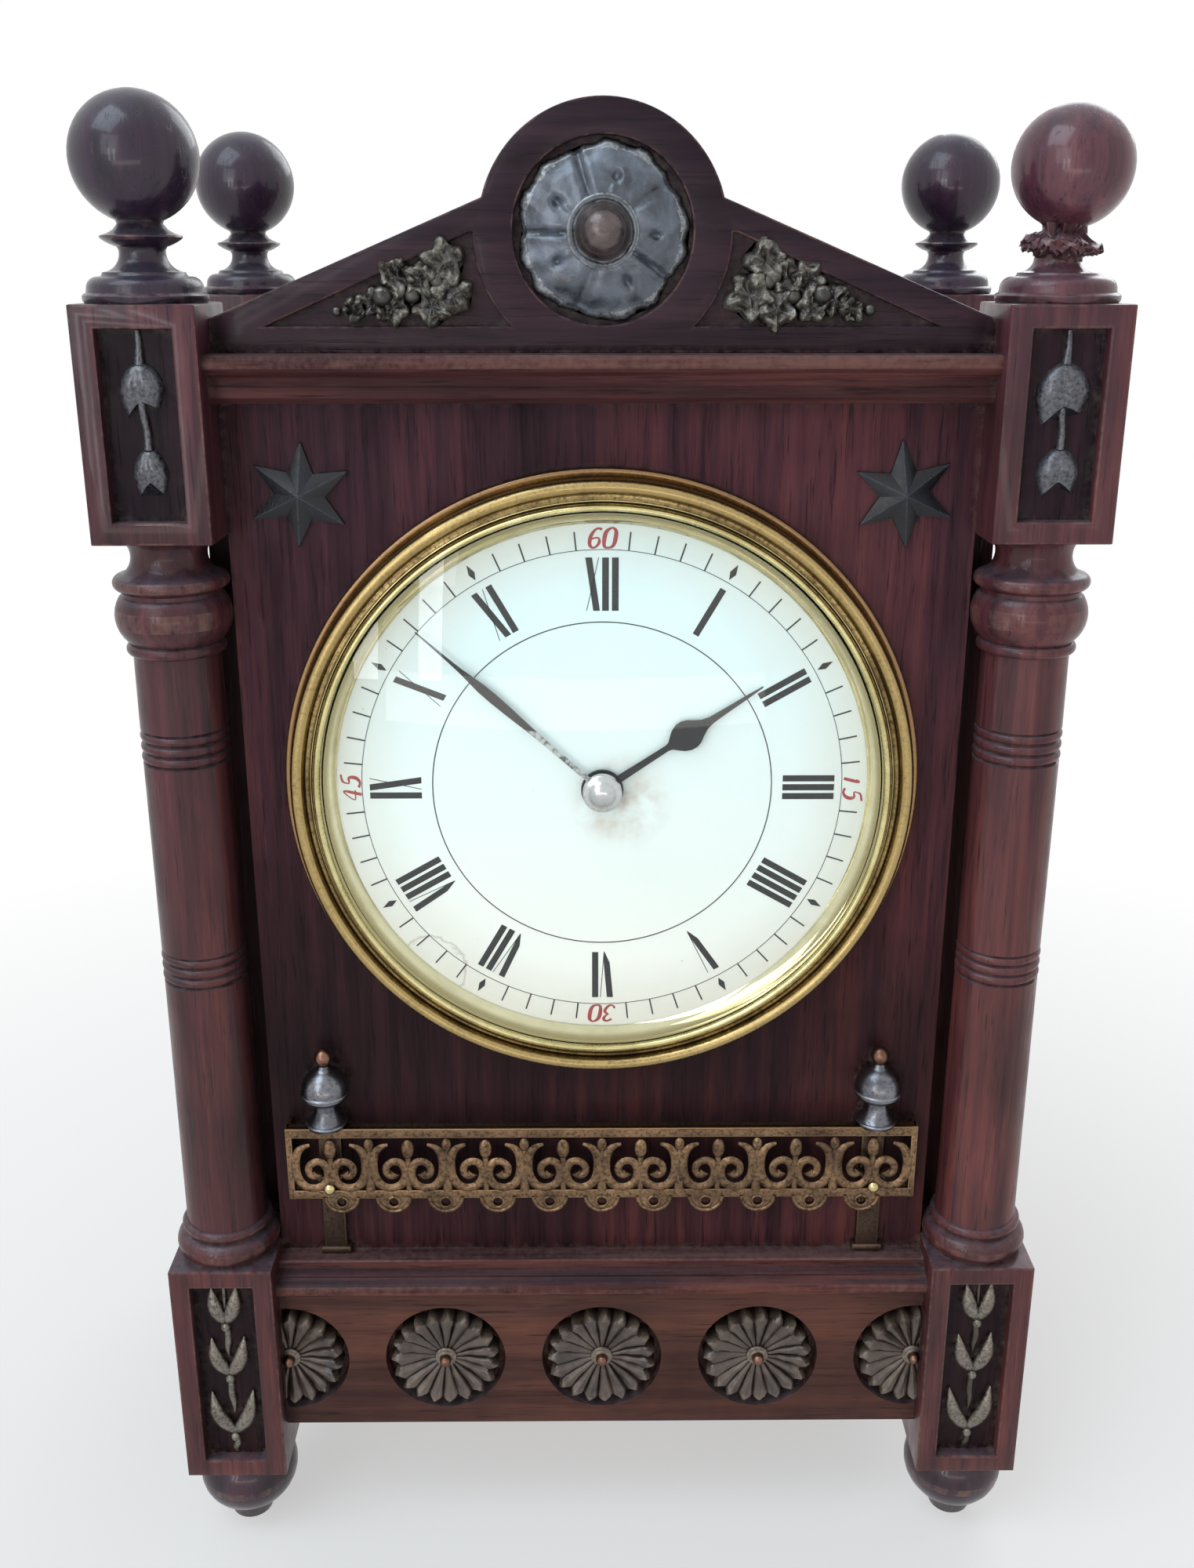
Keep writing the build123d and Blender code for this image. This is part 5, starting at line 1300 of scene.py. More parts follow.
@dataclass
class Pediment:
    """Arched pediment board with its rosette and two clusters of vine leaves and grapes."""

    case: CaseSizes
    front: float = -45.0
    back: float = -38.0
    arch_z: float = 270.3
    arch: float = 21.2
    recess: float = 15.3
    petals: int = 5
    seed: int = 7

    def board(self) -> None:
        """Builds the board with its round recess and two sunk gables."""
        c, base = self.case, self.case.case_top
        spring = 15.0
        edge = [(-c.inner_x, base), (c.inner_x, base), (c.inner_x, base + 5.7)]
        edge += ring_points((0, self.arch_z), self.arch, 49, spring, 180 - 2 * spring)
        edge += [(-c.inner_x, base + 5.7)]
        holes = [(ring_points((0, self.arch_z), self.recess, 72), self.front + 2.5)]
        outer = self.arch + 0.9
        for side in (-1, 1):
            low, high = base + 4.4, base + 19.7
            first = math.degrees(math.asin((low - self.arch_z) / outer))
            last = math.degrees(math.asin((high - self.arch_z) / outer))
            bow = ring_points((0, self.arch_z), outer, 13, first, last - first)
            gable = [(58.0, low), (22.7, high)] + list(reversed(bow))
            holes.append(([(side * x, z) for x, z in gable], self.front + 1.6))
        piece = Piece("pediment_front")
        piece.board(edge, self.front, self.back, holes, 0.35)
        piece.done(["oak_pediment"], stands_for=["pediment_board"], crease=30)

    def petal(self, share: float, angle: float) -> tuple[float, float]:
        """Surface of the rosette: a dome of broad petals with a gouged pit in each and a ragged lobed rim.

        Args:
            share: Share of the radius.
            angle: Angle in radians.

        Returns:
            Scale of the radius and height.
        """
        wobble = 0.08 * math.sin(2 * angle + 0.7) + 0.06 * math.sin(3 * angle + 2.0) - 0.07 * (1 - share)
        phase = (angle + wobble) * self.petals / (2 * math.pi) + 0.5
        across = 2 * (phase - math.floor(phase)) - 1
        off = (1 - abs(across)) * math.pi / self.petals * share * 14.8
        inward = min(1.0, max(0.0, (share - 0.36) / 0.12)) * (1 - 0.75 * max(0.0, share - 0.7) / 0.3)
        crease = math.exp(-(off / 0.55) ** 2) * inward
        ridge = math.exp(-((off - 1.3) / 0.8) ** 2) * inward
        side = across * math.pi / self.petals * share * 14.8
        pit = math.exp(-((side / 0.8) ** 2 + ((share - 0.6) / 0.065) ** 2))
        spill = math.exp(-((side / 0.45) ** 2)) * max(0.0, 1 - abs(share - 0.5) / 0.12)
        rise = 0.55 + 3.8 * (1 - share ** 2.3) + 0.9 * (1 - across ** 4) * share
        rise += 0.3 * ridge - 0.3 * crease - 1.2 * pit + 0.3 * spill
        lobes = 0.5 - 0.5 * math.cos(math.pi * (3 * across + 1))
        edge = max(0.0, share - 0.72) / 0.28
        rise += (0.3 * math.exp(-((share - 0.93) / 0.05) ** 2) - 0.5 * max(0.0, share - 0.95) / 0.05
                 - 0.35 * edge * lobes)
        tip = 1 - edge * (0.09 * math.exp(-(off / 1.6) ** 2) + 0.05 * lobes)
        rough = noise.noise(Vector((7 * share * math.cos(angle), 7 * share * math.sin(angle), 1.3)))
        ragged = noise.noise(Vector((22 * math.cos(angle), 22 * math.sin(angle), 4.1)))
        return tip - edge ** 3 * (0.02 * rough + 0.025 * ragged), max(0.45, rise + 0.2 * rough)

    def rosette(self) -> None:
        """Builds the rosette with its turned boss."""
        piece = Piece("petal_rosette")
        floor = self.front + 2.5
        verts = piece.polar(15.0, 34, 240, (0, 0, self.arch_z), self.petal, floor)
        for face in piece.around(verts):
            middle = face.calc_center_median()
            if math.hypot(middle.x, middle.z - self.arch_z) > 13.2:
                face[piece.worn] = 0.8
        ground = floor - 3.4
        piece.turn([(6.4, ground + 1.6), (6.4, ground - 0.1), (6.2, ground - 0.5),
                    (5.1, ground - 1.0, 6.0, ground - 1.1),
                    (4.9, ground - 0.8), (4.7, ground - 0.8), (4.6, ground - 1.5)],
                   (0, 0, self.arch_z), Axis.DEPTH, 64, rubbed=[(ground - 1.2, ground - 0.7)])
        knob = piece.turn([(4.65, ground - 1.3), (4.7, ground - 1.9), (4.3, ground - 2.5),
                           (3.9, ground - 2.9), (0.0, ground - 5.9, 2.7, ground - 5.0)], (0, 0, self.arch_z),
                          Axis.DEPTH, 64, 12)
        piece.paint(piece.around(knob), 1)
        piece.done(["bronzed_rosette", "rosette_knob"], stands_for=["pediment_rosette"],
                   crease=60)

    def leaf(self, piece: Piece, x: float, z: float, size: float, turn: float, floor: float) -> None:
        """Crumpled vine leaf with five points and an edge that falls back to the ground.

        Args:
            piece: Piece that takes it.
            x: Centre.
            z: Centre.
            size: Radius to the tips.
            turn: Direction of the middle point, in radians.
            floor: Depth of the ground.
        """
        def shape(share: float, angle: float) -> tuple[float, float]:
            """Five points with a vein to each and folds between them."""
            own = (angle - turn) * 5 / (2 * math.pi)
            lobe = abs(2 * (own - math.floor(own)) - 1)
            own_x, own_z = share * math.cos(angle), share * math.sin(angle)
            rough = noise.noise(Vector((x + 1.6 * own_x, z + 1.6 * own_z, 2.0)))
            crumple = abs(noise.noise(Vector((2 * x + 1.9 * own_x, 2 * z + 1.9 * own_z, 5.0))))
            rim = 0.8 + 0.2 * lobe ** 0.8 + 0.3 * rough
            vein = math.exp(-((1 - lobe) / 0.25) ** 2) * share
            rise = (1.7 + 0.7 * share * lobe + 0.6 * vein + 0.9 * rough + 1.5 * crumple
                    - 1.3 * max(0.0, share - 0.86) / 0.14)
            rim = 1 + (rim - 1) * share
            return rim, max(0.3, rise)

        for face in piece.around(piece.polar(size, 10, 48, (x, 0, z), shape, floor)):
            middle = face.calc_center_median()
            if middle.y < floor - 2.3 and math.hypot(middle.x - x, middle.z - z) > 0.45 * size:
                face[piece.worn] = 0.9

    def vines(self) -> None:
        """Builds both clusters, mirror images apart from hand-cut differences."""
        piece = Piece("vine_clusters")
        floor, base = self.front + 1.6, self.case.case_top
        chance = random.Random(self.seed)
        leaves = ((27.2, 15.0, 4.2, 1.2), (25.6, 9.6, 4.2, 2.6), (29.8, 7.6, 3.8, -1.8),
                  (31.2, 12.2, 3.4, 0.2), (35.0, 12.2, 3.2, 0.7), (35.4, 7.8, 3.2, -0.6),
                  (39.4, 8.8, 2.8, 0.5), (43.0, 7.2, 2.2, -0.3))
        berries = ((28.6, 12.0, 1.3), (32.4, 9.6, 1.5), (37.6, 9.4, 1.9), (41.3, 8.6, 1.1), (45.6, 6.8, 0.9))
        for side in (-1, 1):
            for x, z, size, turn in leaves:
                lean = turn if side > 0 else math.pi - turn
                self.leaf(piece, side * (x + chance.uniform(-0.6, 0.6)), base + z + chance.uniform(-0.4, 0.4),
                          size * chance.uniform(0.9, 1.1), lean + chance.uniform(-0.4, 0.4), floor)
            for x, z, radius in berries:
                grow = radius * chance.uniform(0.86, 1.1)
                made = piece.ball(grow, (side * (x + chance.uniform(-0.4, 0.4)), floor - 0.75 * grow - 0.6,
                                         base + z + chance.uniform(-0.3, 0.3)), (1.0, 0.85, 1.0), 3)
                piece.wear((face for face in piece.around(made) if face.normal.z > 0.5), 0.8)
        for vert in piece.bm.verts:
            vert.co.y = min(vert.co.y, floor)
        piece.done(["bronzed_leaf"], stands_for=["pediment_leaves"], crease=50)

    def build(self) -> None:
        """Builds all of the pediment."""
        self.board()
        self.rosette()
        self.vines()


@dataclass
class PlinthRosettes:
    """Five fluted rosettes in the plinth's sockets, each with a turned boss and a bright pin."""

    case: CaseSizes
    floor: float = -45.4
    radius: float = 11.5
    flutes: int = 19

    def shape(self, share: float, angle: float) -> tuple[float, float]:
        """Pointed petals, each with a soft ridge along its middle, in a shallow dish.

        Args:
            share: Share of the radius.
            angle: Angle in radians.

        Returns:
            Scale of the radius and height.
        """
        phase = angle * self.flutes / (2 * math.pi) + 0.05 * math.sin(3 * angle)
        across = 2 * (phase - math.floor(phase)) - 1
        valley = math.exp(-((1 - abs(across)) / 0.22) ** 2)
        lift = min(1.0, share * 1.6)
        crown = math.exp(-(across / 0.3) ** 2)
        rise = 3.0 + 1.8 * share ** 2 + lift * (0.3 * across + 0.3 * crown - 0.6 * valley)
        rise -= 1.1 * max(0.0, share - 0.92) / 0.08
        rough = noise.noise(Vector((6 * share * math.cos(angle), 6 * share * math.sin(angle), 9.0)))
        tip = 1 - 0.17 * max(0.0, share - 0.7) / 0.3 * abs(across) ** 1.1
        return tip + 0.035 * rough * share ** 4, max(0.4, rise + 0.28 * rough)

    def build(self) -> None:
        """Builds the rosettes, and cuts off the end two where the posts stand."""
        piece = Piece("fluted_rosettes")
        for x in self.case.sockets:
            before = set(piece.bm.verts)
            petals = piece.polar(self.radius, 14, 216, (x, 0, self.case.socket_z), self.shape, self.floor)
            for face in piece.around(petals):
                middle = face.calc_center_median()
                if math.hypot(middle.x - x, middle.z - self.case.socket_z) > 0.86 * self.radius:
                    face[piece.worn] = 0.45
            ground = self.floor - 2.6
            piece.turn([(2.2, ground + 0.8), (2.2, ground - 0.3), (1.7, ground - 1.0, 2.2, ground - 0.9),
                        (1.3, ground - 1.2), (1.2, ground - 1.4)], (x, 0, self.case.socket_z), Axis.DEPTH, 40,
                       rubbed=[(ground - 1.1, ground - 0.5)])
            pin = piece.turn([(1.15, ground - 1.3), (1.2, ground - 2.0),
                              (0.0, ground - 3.1, 0.85, ground - 2.8)],
                             (x, 0, self.case.socket_z), Axis.DEPTH, 28)
            piece.paint(piece.around(pin), 1)
            if abs(x) > 60:
                side = 1 if x > 0 else -1
                piece.slice(piece.since(before), (side * (self.case.inner_x - 0.05), 0, 0), (side, 0, 0))
        piece.done(["bronzed_carving", "copper_tip"], stands_for=["plinth_rosettes"],
                   crease=50)


@dataclass
class Bellflowers:
    """Hanging bellflowers in the upper blocks and upright ones in the lower blocks."""

    case: CaseSizes
    floor: float = -51.4

    def bell(self, piece: Piece, x: float, z: float, length: float, width: float,
             sides: tuple[float, float]) -> None:
        """Hanging flower: a rounded hood whose rim runs out into a long left petal and a shorter right one.

        Args:
            piece: Piece that takes it.
            x: Centre.
            z: Closed end.
            length: Length to the petal tips.
            width: Half width.
            sides: Share of the length that the left and right petals reach.
        """
        rows = 18
        made = piece.lathe([(x + 0.02 + math.sin(math.pi / 2 * min(1.0, k / rows / 0.66) ** 0.62)
                             * (1 - 0.3 * max(0.0, k / rows - 0.6) / 0.4), self.floor, -k / rows)
                            for k in range(rows + 1)], (x, self.floor, 0), (0, 0, 1), 48, 1e-3)
        bmesh.ops.holes_fill(piece.bm, edges=[e for e in edges_of(made) if e.is_boundary], sides=0)
        for vert in made:
            down = -vert.co.z
            dx, dy = vert.co.x - x, vert.co.y - self.floor
            angle = math.atan2(-dy, dx)
            reach = sides[0] if dx < 0 else sides[1]
            drop = 0.7 + (reach - 0.7) * abs(math.cos(angle)) ** 1.3
            fold = 1 - 0.2 * math.exp(-((angle - 1.7) / 0.2) ** 2) * min(1.0, 2 * down)
            vert.co.x = x + dx * width
            vert.co.y = min(self.floor, self.floor + dy * min(width * 0.62, 2.5) * fold)
            vert.co.z = z - down * length * drop
        piece.wear((f for f in piece.around(made) if f.calc_center_median().z > z - 0.14 * length), 0.6)

    def tulip(self, piece: Piece, x: float, z: float, length: float, width: float) -> None:
        """Upright flower: two broad curved petals that open from a small bright bead.

        Args:
            piece: Piece that takes it.
            x: Centre.
            z: Foot.
            length: Height to the petal tips.
            width: Half width.
        """
        y = self.floor - 0.8
        before = set(piece.bm.verts)
        for side, tall in ((-1, 0.96), (1, 1.0)):
            piece.strand([(x - side * 0.1 * width, y + 0.3, z - 0.4),
                          (x + side * 0.3 * width, y - 0.2, z + 0.14 * length),
                          (x + side * 0.7 * width, y - 0.5, z + 0.42 * length * tall),
                          (x + side * 0.86 * width, y - 0.3, z + 0.72 * length * tall),
                          (x + side * 0.95 * width, y + 0.4, z + length * tall)],
                         (0.7, 1.5, 1.65, 1.15, 0.15), 0.75)
        for face in piece.around(piece.since(before)):
            off = x - face.calc_center_median().x
            if off * face.normal.x > 0.3 * abs(off) and face.normal.z > 0.1:
                face[piece.worn] = 0.8
        bead = piece.ball(0.95, (x, y - 0.5, z - 0.9), (1.0, 0.9, 1.1), 3)
        piece.wear(piece.around(bead), 0.9)

    def build(self) -> None:
        """Builds the four drops."""
        piece = Piece("bellflower_drops")
        low, high, top = self.case.upper_foot, self.case.upper_top, self.case.lower_top
        out = self.floor - 0.4
        for side in (-1, 1):
            x = side * self.case.post_x
            wide = 1.24 if side > 0 else 1.0
            self.bell(piece, x + 0.1, high - 9.2, 9.4 * (1.14 if side > 0 else 1.0), 3.8 * wide, (1.0, 0.84))
            self.bell(piece, x + 0.4, low + 16.6, 8.4, 3.0 * wide, (1.0, 0.97))
            piece.strand([(x + 0.2, out, high - 4.2), (x + 0.4, out, high - 7.0), (x + 0.1, out, high - 9.8)],
                         (0.5, 0.6, 0.9))
            piece.strand([(x + 0.1, out - 0.5, high - 14.4), (x - 0.1, out - 0.2, high - 17.6),
                          (x + 0.6, out, low + 19.0), (x + 0.4, out, low + 16.2)], (0.8, 0.7, 0.6, 0.8))
            for z, length, width in ((56.0, 8.6, 2.7), (43.0, 9.0, 3.6), (28.0, 10.4, 4.6)):
                self.tulip(piece, x, z, length, width)
            for first, last, bow in ((54.8, 47.0, 0.3), (41.8, 32.6, -0.3), (26.8, 22.3, 0.5)):
                piece.strand([(x, out, first), (x + bow, out - 0.2, 0.6 * first + 0.4 * last),
                              (x - bow, out, 0.25 * first + 0.75 * last), (x, out + 0.2, last)],
                             (0.6, 0.8, 0.65, 0.3))
            piece.strand([(x, out + 0.2, top - 4.1), (x, out, 62.0), (x, out, 58.0)], (0.3, 0.45, 0.6))
        piece.paint([face for face in piece.bm.faces if face.calc_center_median().z < top], 1)
        piece.done(["bronzed_drop", "gilded_drop"], stands_for=["husk_drops"], crease=55)


@dataclass
class CarvedStars:
    """Two six-pointed stars with a ridge along each point."""

    case: CaseSizes
    x: float = 54.3
    z: float = 225.74
    tip: float = 9.8
    valley: float = 4.7

    def build(self) -> None:
        """Builds both stars."""
        piece = Piece("ridged_stars")
        chance = random.Random(3)
        for side in (-1, 1):
            twist = math.radians(-4 if side < 0 else 5)
            made = bmesh.ops.create_circle(piece.bm, cap_ends=False, radius=1.0, segments=12)["verts"]
            ring = sorted(made, key=lambda v: math.atan2(v.co.y, v.co.x))
            for k, vert in enumerate(ring):
                reach = (self.tip if k % 2 == 0 else self.valley) * chance.uniform(0.95, 1.0)
                angle = math.pi / 2 + twist + k * math.pi / 6
                vert.co = (side * self.x + reach * math.cos(angle), self.case.panel - 0.7,
                           self.z + reach * math.sin(angle))
            edges = edges_of(ring)
            skirt = bmesh.ops.extrude_edge_only(piece.bm, edges=edges)["geom"]
            for vert in only(skirt, Vert):
                vert.co.y = self.case.panel
            crown = piece.bm.verts.new((side * self.x, self.case.panel - 3.0, self.z))
            for edge in edges:
                piece.bm.faces.new((*edge.verts, crown))
            ridges = [e for e in crown.link_edges
                      if (e.other_vert(crown).co - crown.co).length > 0.7 * self.tip]
            piece.soften(ridges, 0.16)
        piece.done(["dark_carving"], stands_for=["carved_stars"], crease=18)


@dataclass
class BrassGallery:
    """Pierced brass gallery on two brackets, with an urn on each."""

    case: CaseSizes
    half: float = 64.4
    low: float = 82.0
    high: float = 98.6
    front: float = -46.9
    back: float = -46.1
    lobes: int = 11
    modules: int = 8
    bracket_x: float = 56.0

    def scrolls(self, piece: Piece) -> None:
        """Builds the mirrored scrolls and buds between the borders.

        Args:
            piece: Piece that takes them.
        """
        pitch = 2 * (self.half - 0.9) / self.modules
        foot = self.low + 1.9
        y = (self.front + self.back) / 2
        curl = ((3.9, 10.6), (2.4, 10.3), (1.0, 8.6), (0.55, 6.0), (0.9, 2.9), (2.5, 0.75), (4.8, 0.35),
                (6.9, 1.6), (7.5, 4.1), (6.7, 6.4), (4.9, 6.9), (3.3, 5.6), (3.4, 3.7), (4.7, 3.1),
                (5.3, 4.2))
        widths = (0.35, 0.7, 1.0, 1.1, 1.08, 1.02, 0.98, 0.98, 0.98, 0.96, 0.9, 0.84, 0.82, 0.9, 1.1)
        for module in range(self.modules):
            left = -self.half + 0.9 + module * pitch
            for side in (1, -1):
                start = left if side > 0 else left + pitch
                piece.strand([(start + side * u * pitch / 15.8, y, foot + v) for u, v in curl], widths, 0.7)
            middle = left + pitch / 2
            piece.ball(1.0, (middle, y, foot + 9.6), (1.35, 0.8, 2.3), 3)
            piece.strand([(middle, y, foot), (middle, y, foot + 3.0), (middle, y, foot + 7.6)],
                         (0.65, 0.8, 0.65), 0.7)
            if module:
                piece.ball(0.85, (left, y, foot + 10.6), (1.25, 0.8, 1.9), 3)
                piece.strand([(left, y, foot - 0.2), (left, y, foot + 5.0), (left, y, foot + 9.6)],
                             (1.1, 0.95, 0.5), 0.7)

    def lobe(self, piece: Piece, x: float) -> None:
        """Hangs one pierced lobe with a raised rim from the lower border.

        Args:
            piece: Piece that takes it.
            x: Centre.
        """
        middle = (x, self.low + 0.4)
        edge = ring_points(middle, 3.75, 29, 180, 180) + [(x + 3.75, self.low + 0.9),
                                                          (x - 3.75, self.low + 0.9)]
        piece.plate(edge, ring_points((x, self.low - 0.85), 0.95, 24), self.front, self.back)
        y = self.front - 0.05
        piece.strand([(px, y, pz) for px, pz in ring_points(middle, 3.4, 13, 180, 180)], [0.38] * 13, 0.7)
        piece.strand([(px, y, pz) for px, pz in ring_points((x, self.low - 0.85), 1.25, 13, 90, 359)],
                     [0.28] * 13, 0.7)

    def rail(self) -> None:
        """Builds the gallery's borders, scalloped edge and scrolls."""
        piece = Piece("pierced_gallery")
        piece.box((-self.half, self.front - 0.15, self.high - 2.3), (self.half, self.back, self.high), 0.22)
        piece.box((-self.half, self.front - 0.35, self.high - 0.6), (self.half, self.back + 1.2, self.high),
                  0.2)
        piece.box((-self.half, self.front - 0.05, self.low), (self.half, self.back, self.low + 2.0), 0.2, 2,
                  0.6)
        for side in (-1, 1):
            near, far = sorted((side * self.half, side * (self.half - 1.3)))
            piece.box((near, self.front - 0.1, self.low), (far, self.back, self.high), 0.2)
            near, far = sorted((side * self.half, side * (self.half - 0.8)))
            piece.box((near, self.back - 0.2, self.low), (far, self.case.panel, self.high), 0.15)
        pitch = 2 * self.half / (self.lobes + 1)
        for lobe in range(self.lobes):
            self.lobe(piece, (lobe - (self.lobes - 1) / 2) * pitch)
        self.scrolls(piece)
        piece.done(["gallery_brass"], stands_for=["gallery_rail"], crease=40)

    def brackets(self) -> None:
        """Builds the brackets, pins and urns."""
        piece = Piece("gallery_bracket_pair")
        pins = Piece("gallery_pin_pair")
        urns = Piece("bronze_urn_pair")
        panel, ledge = self.case.panel, self.case.ledge
        for side in (-1, 1):
            x = side * self.bracket_x
            piece.box((x - 2.4, panel - 1.8, ledge + 1.2), (x + 2.4, panel, self.high - 1.0), 0.4)
            piece.box((x - 3.2, panel - 2.3, ledge), (x + 3.2, panel, ledge + 1.9), 0.5)
            piece.box((x - 2.5, self.back, self.low), (x + 2.5, panel, self.low + 4.8), 0.3)
            piece.box((x - 4.0, self.back, self.high - 3.0), (x + 4.0, panel, self.high), 0.3)
            z = self.low + 2.4
            pins.turn([(0.6, panel - 1.0), (0.6, self.front + 0.2), (1.15, self.front),
                       (1.2, self.front - 0.25), (0.0, self.front - 0.95, 0.85, self.front - 0.75)],
                      (x, 0, z), Axis.DEPTH, 28)
            base, y = self.high, self.back + 0.8
            before = set(urns.bm.verts)
            urns.turn([(3.9, base), (4.1, base + 0.5), (3.9, base + 1.1, 4.2), (3.6, base + 1.4),
                       (2.3, base + 4.9, 2.5), (2.3, base + 5.3), (4.3, base + 6.5, 3.4, base + 5.6),
                       (4.85, base + 7.3, 4.75), (4.7, base + 8.0, 4.95),
                       (2.1, base + 12.6, 4.0, base + 10.8), (1.3, base + 13.1), (1.1, base + 13.6)],
                      (x, y, 0), Axis.HEIGHT, 56, rubbed=[(base + 7.0, base + 8.2), (base + 0.4, base + 1.2)])
            tip = urns.turn([(1.0, base + 13.5), (1.2, base + 13.9), (0.0, base + 17.3, 1.75, base + 15.6)],
                            (x, y, 0), Axis.HEIGHT, 40, 12)
            urns.paint(urns.around(tip), 1)
            urns.slice(urns.since(before), (0, panel - 0.02, 0), (0, 1, 0))
        piece.done(["bracket_bronze"], stands_for=["gallery_brackets"])
        pins.done(["pin_brass"], stands_for=["gallery_pins"])
        urns.done(["urn_bronze", "copper_tip"], stands_for=["gallery_urns"], crease=50)

    def build(self) -> None:
        """Builds all of the gallery."""
        self.rail()
        self.brackets()


@dataclass
class DialWork:
    """Bezel, sight ring, domed glass, enamel dial and its painted marks."""

    case: CaseSizes
    face: float = -44.0
    paint: float = 0.05
    ink_ring: float = 32.0
    track: float = 45.4
    marks: tuple[str, ...] = ("XII", "I", "II", "III", "IIII", "V", "VI", "VII", "VIII", "IX", "X", "XI")

    def bezel(self) -> None:
        """Builds the stepped bezel and the polished sight ring behind the glass."""
        p, centre = self.case.panel, (0, 0, self.case.dial_z)
        piece = Piece("stepped_bezel")
        step = piece.turn([(57.6, p), (60.0, p), (60.0, p - 1.3), (59.5, p - 1.95, 59.9, p - 1.8),
                           (58.9, p - 2.0), (58.6, p - 1.7), (58.3, p - 1.7), (58.0, p - 2.1),
                           (57.8, p - 2.1)], centre,
                          Axis.DEPTH, 200, 6, rubbed=[(p - 2.0, p - 1.75)])
        piece.turn([(57.8, p - 1.0), (58.1, p - 2.4), (58.05, p - 4.2), (56.1, p - 4.7, 57.1, p - 6.4),
                    (55.9, p - 4.7), (55.7, p - 4.8), (54.3, p - 5.75, 54.8, p - 5.0), (54.1, p - 5.7)],
                   centre, Axis.DEPTH, 200, 12, rubbed=[(p - 6.5, p - 6.1)])
        rim = piece.turn([(54.1, p - 5.6), (54.05, p - 5.95), (52.95, p - 5.75, 53.5, p - 6.4),
                          (52.9, p - 5.45), (54.3, p - 5.3), (54.75, p - 5.1), (54.8, p - 2.05)], centre,
                         Axis.DEPTH, 200, 8)
        sight = piece.turn([(54.75, p - 2.04), (50.25, p - 2.04), (50.2, p - 2.1), (52.35, p - 4.35),
                            (53.4, p - 4.4), (54.75, p - 2.6)], centre, Axis.DEPTH, 200)
        for index, verts in ((1, step), (2, rim), (3, sight)):
            piece.paint(piece.around(verts), index)
        piece.done(["bezel_brass", "bezel_copper", "bezel_rim", "sight_brass"], stands_for=["bezel"],
                   crease=50)

    def glass(self) -> None:
        """Builds the domed glass with its bevelled edge."""
        piece = Piece("convex_glass")
        edge, rise, radius, thick = -46.8, 6.2, 54.2, 0.85
        sphere = (radius ** 2 + rise ** 2) / (2 * rise)

        def dome(base: float, reach: float) -> list[Point]:
            """Outline of one face from its edge to the axis."""
            out = []
            for k in range(25):
                r = reach * (1 - k / 24)
                out.append((r, base - rise + sphere - math.sqrt(sphere ** 2 - r ** 2)))
            return out

        front, back = dome(edge, radius), dome(edge + thick, radius - 0.15)
        line = list(reversed(back)) + [(radius, edge + thick - 0.15)] + front
        line[0], line[-1] = (0.0, line[0][1]), (0.0, line[-1][1])
        piece.turn(line, (0, 0, self.case.dial_z), Axis.DEPTH, 160)
        piece.done(["domed_glass"], stands_for=["glass"], crease=50)

    def stroke(self, piece: Piece, start: Point, end: Point, width: float) -> None:
        """One painted bar between the middles of its ends, as across and out from the centre."""
        half = width / 2
        self.patch(piece, [(start[0] - half, start[1]), (start[0] + half, start[1]), (end[0] + half, end[1]),
                           (end[0] - half, end[1])])

    def patch(self, piece: Piece, corners: Sequence[Point]) -> None:
        """Thin painted patch that stands just proud of the enamel.

        Args:
            piece: Piece that takes it.
            corners: Outline as across and out.
        """
        face = piece.bm.faces.new([piece.bm.verts.new((x, self.face - self.paint, z)) for x, z in corners])
        made = bmesh.ops.extrude_face_region(piece.bm, geom=[face])["geom"]
        for vert in only(made, Vert):
            vert.co.y = self.face + 0.01

    def swing(self, piece: Piece, before: set[Vert], hours: float) -> None:
        """Turns what was made since to its hour and moves it to the dial's centre.

        Args:
            piece: Piece that holds it.
            before: Vertices that were there before it.
            hours: Clock hours from twelve.
        """
        turn = Matrix.Rotation(math.radians(30 * hours), 4, "Y")
        for vert in piece.since(before):
            vert.co = turn @ vert.co + Vector((0, 0, self.case.dial_z))

    def numeral(self, piece: Piece, text: str, hour: int) -> None:
        """One Roman numeral with thick bars and hairlines, its feet to the centre.

        Args:
            piece: Piece that takes it.
            text: Letters I, V and X.
            hour: Hour that it stands at.
        """
        before = set(piece.bm.verts)
        low, high, bar, hair = 34.2, 44.0, 1.22, 0.13
        widths = {"I": 1.78, "V": 2.7, "X": 2.9}
        at = -sum(widths[letter] for letter in text) / 2
        for letter in text:
            middle = at + widths[letter] / 2
            if letter == "I":
                self.stroke(piece, (middle, low), (middle, high), bar)
            elif letter == "V":
                self.patch(piece, [(middle - 1.3, high), (middle - 1.3 + bar, high),
                                   (middle + 0.62, low + 1.5), (middle + 0.45, low - 0.2),
                                   (middle - 0.62, low + 2.3)])
                self.stroke(piece, (middle + 0.5, low), (middle + 1.2, high), hair)
            else:
                self.stroke(piece, (middle + 0.72, low), (middle - 0.72, high), bar)
                self.stroke(piece, (middle - 1.1, low), (middle + 1.1, high), hair)
            at += widths[letter]
        self.swing(piece, before, hour)

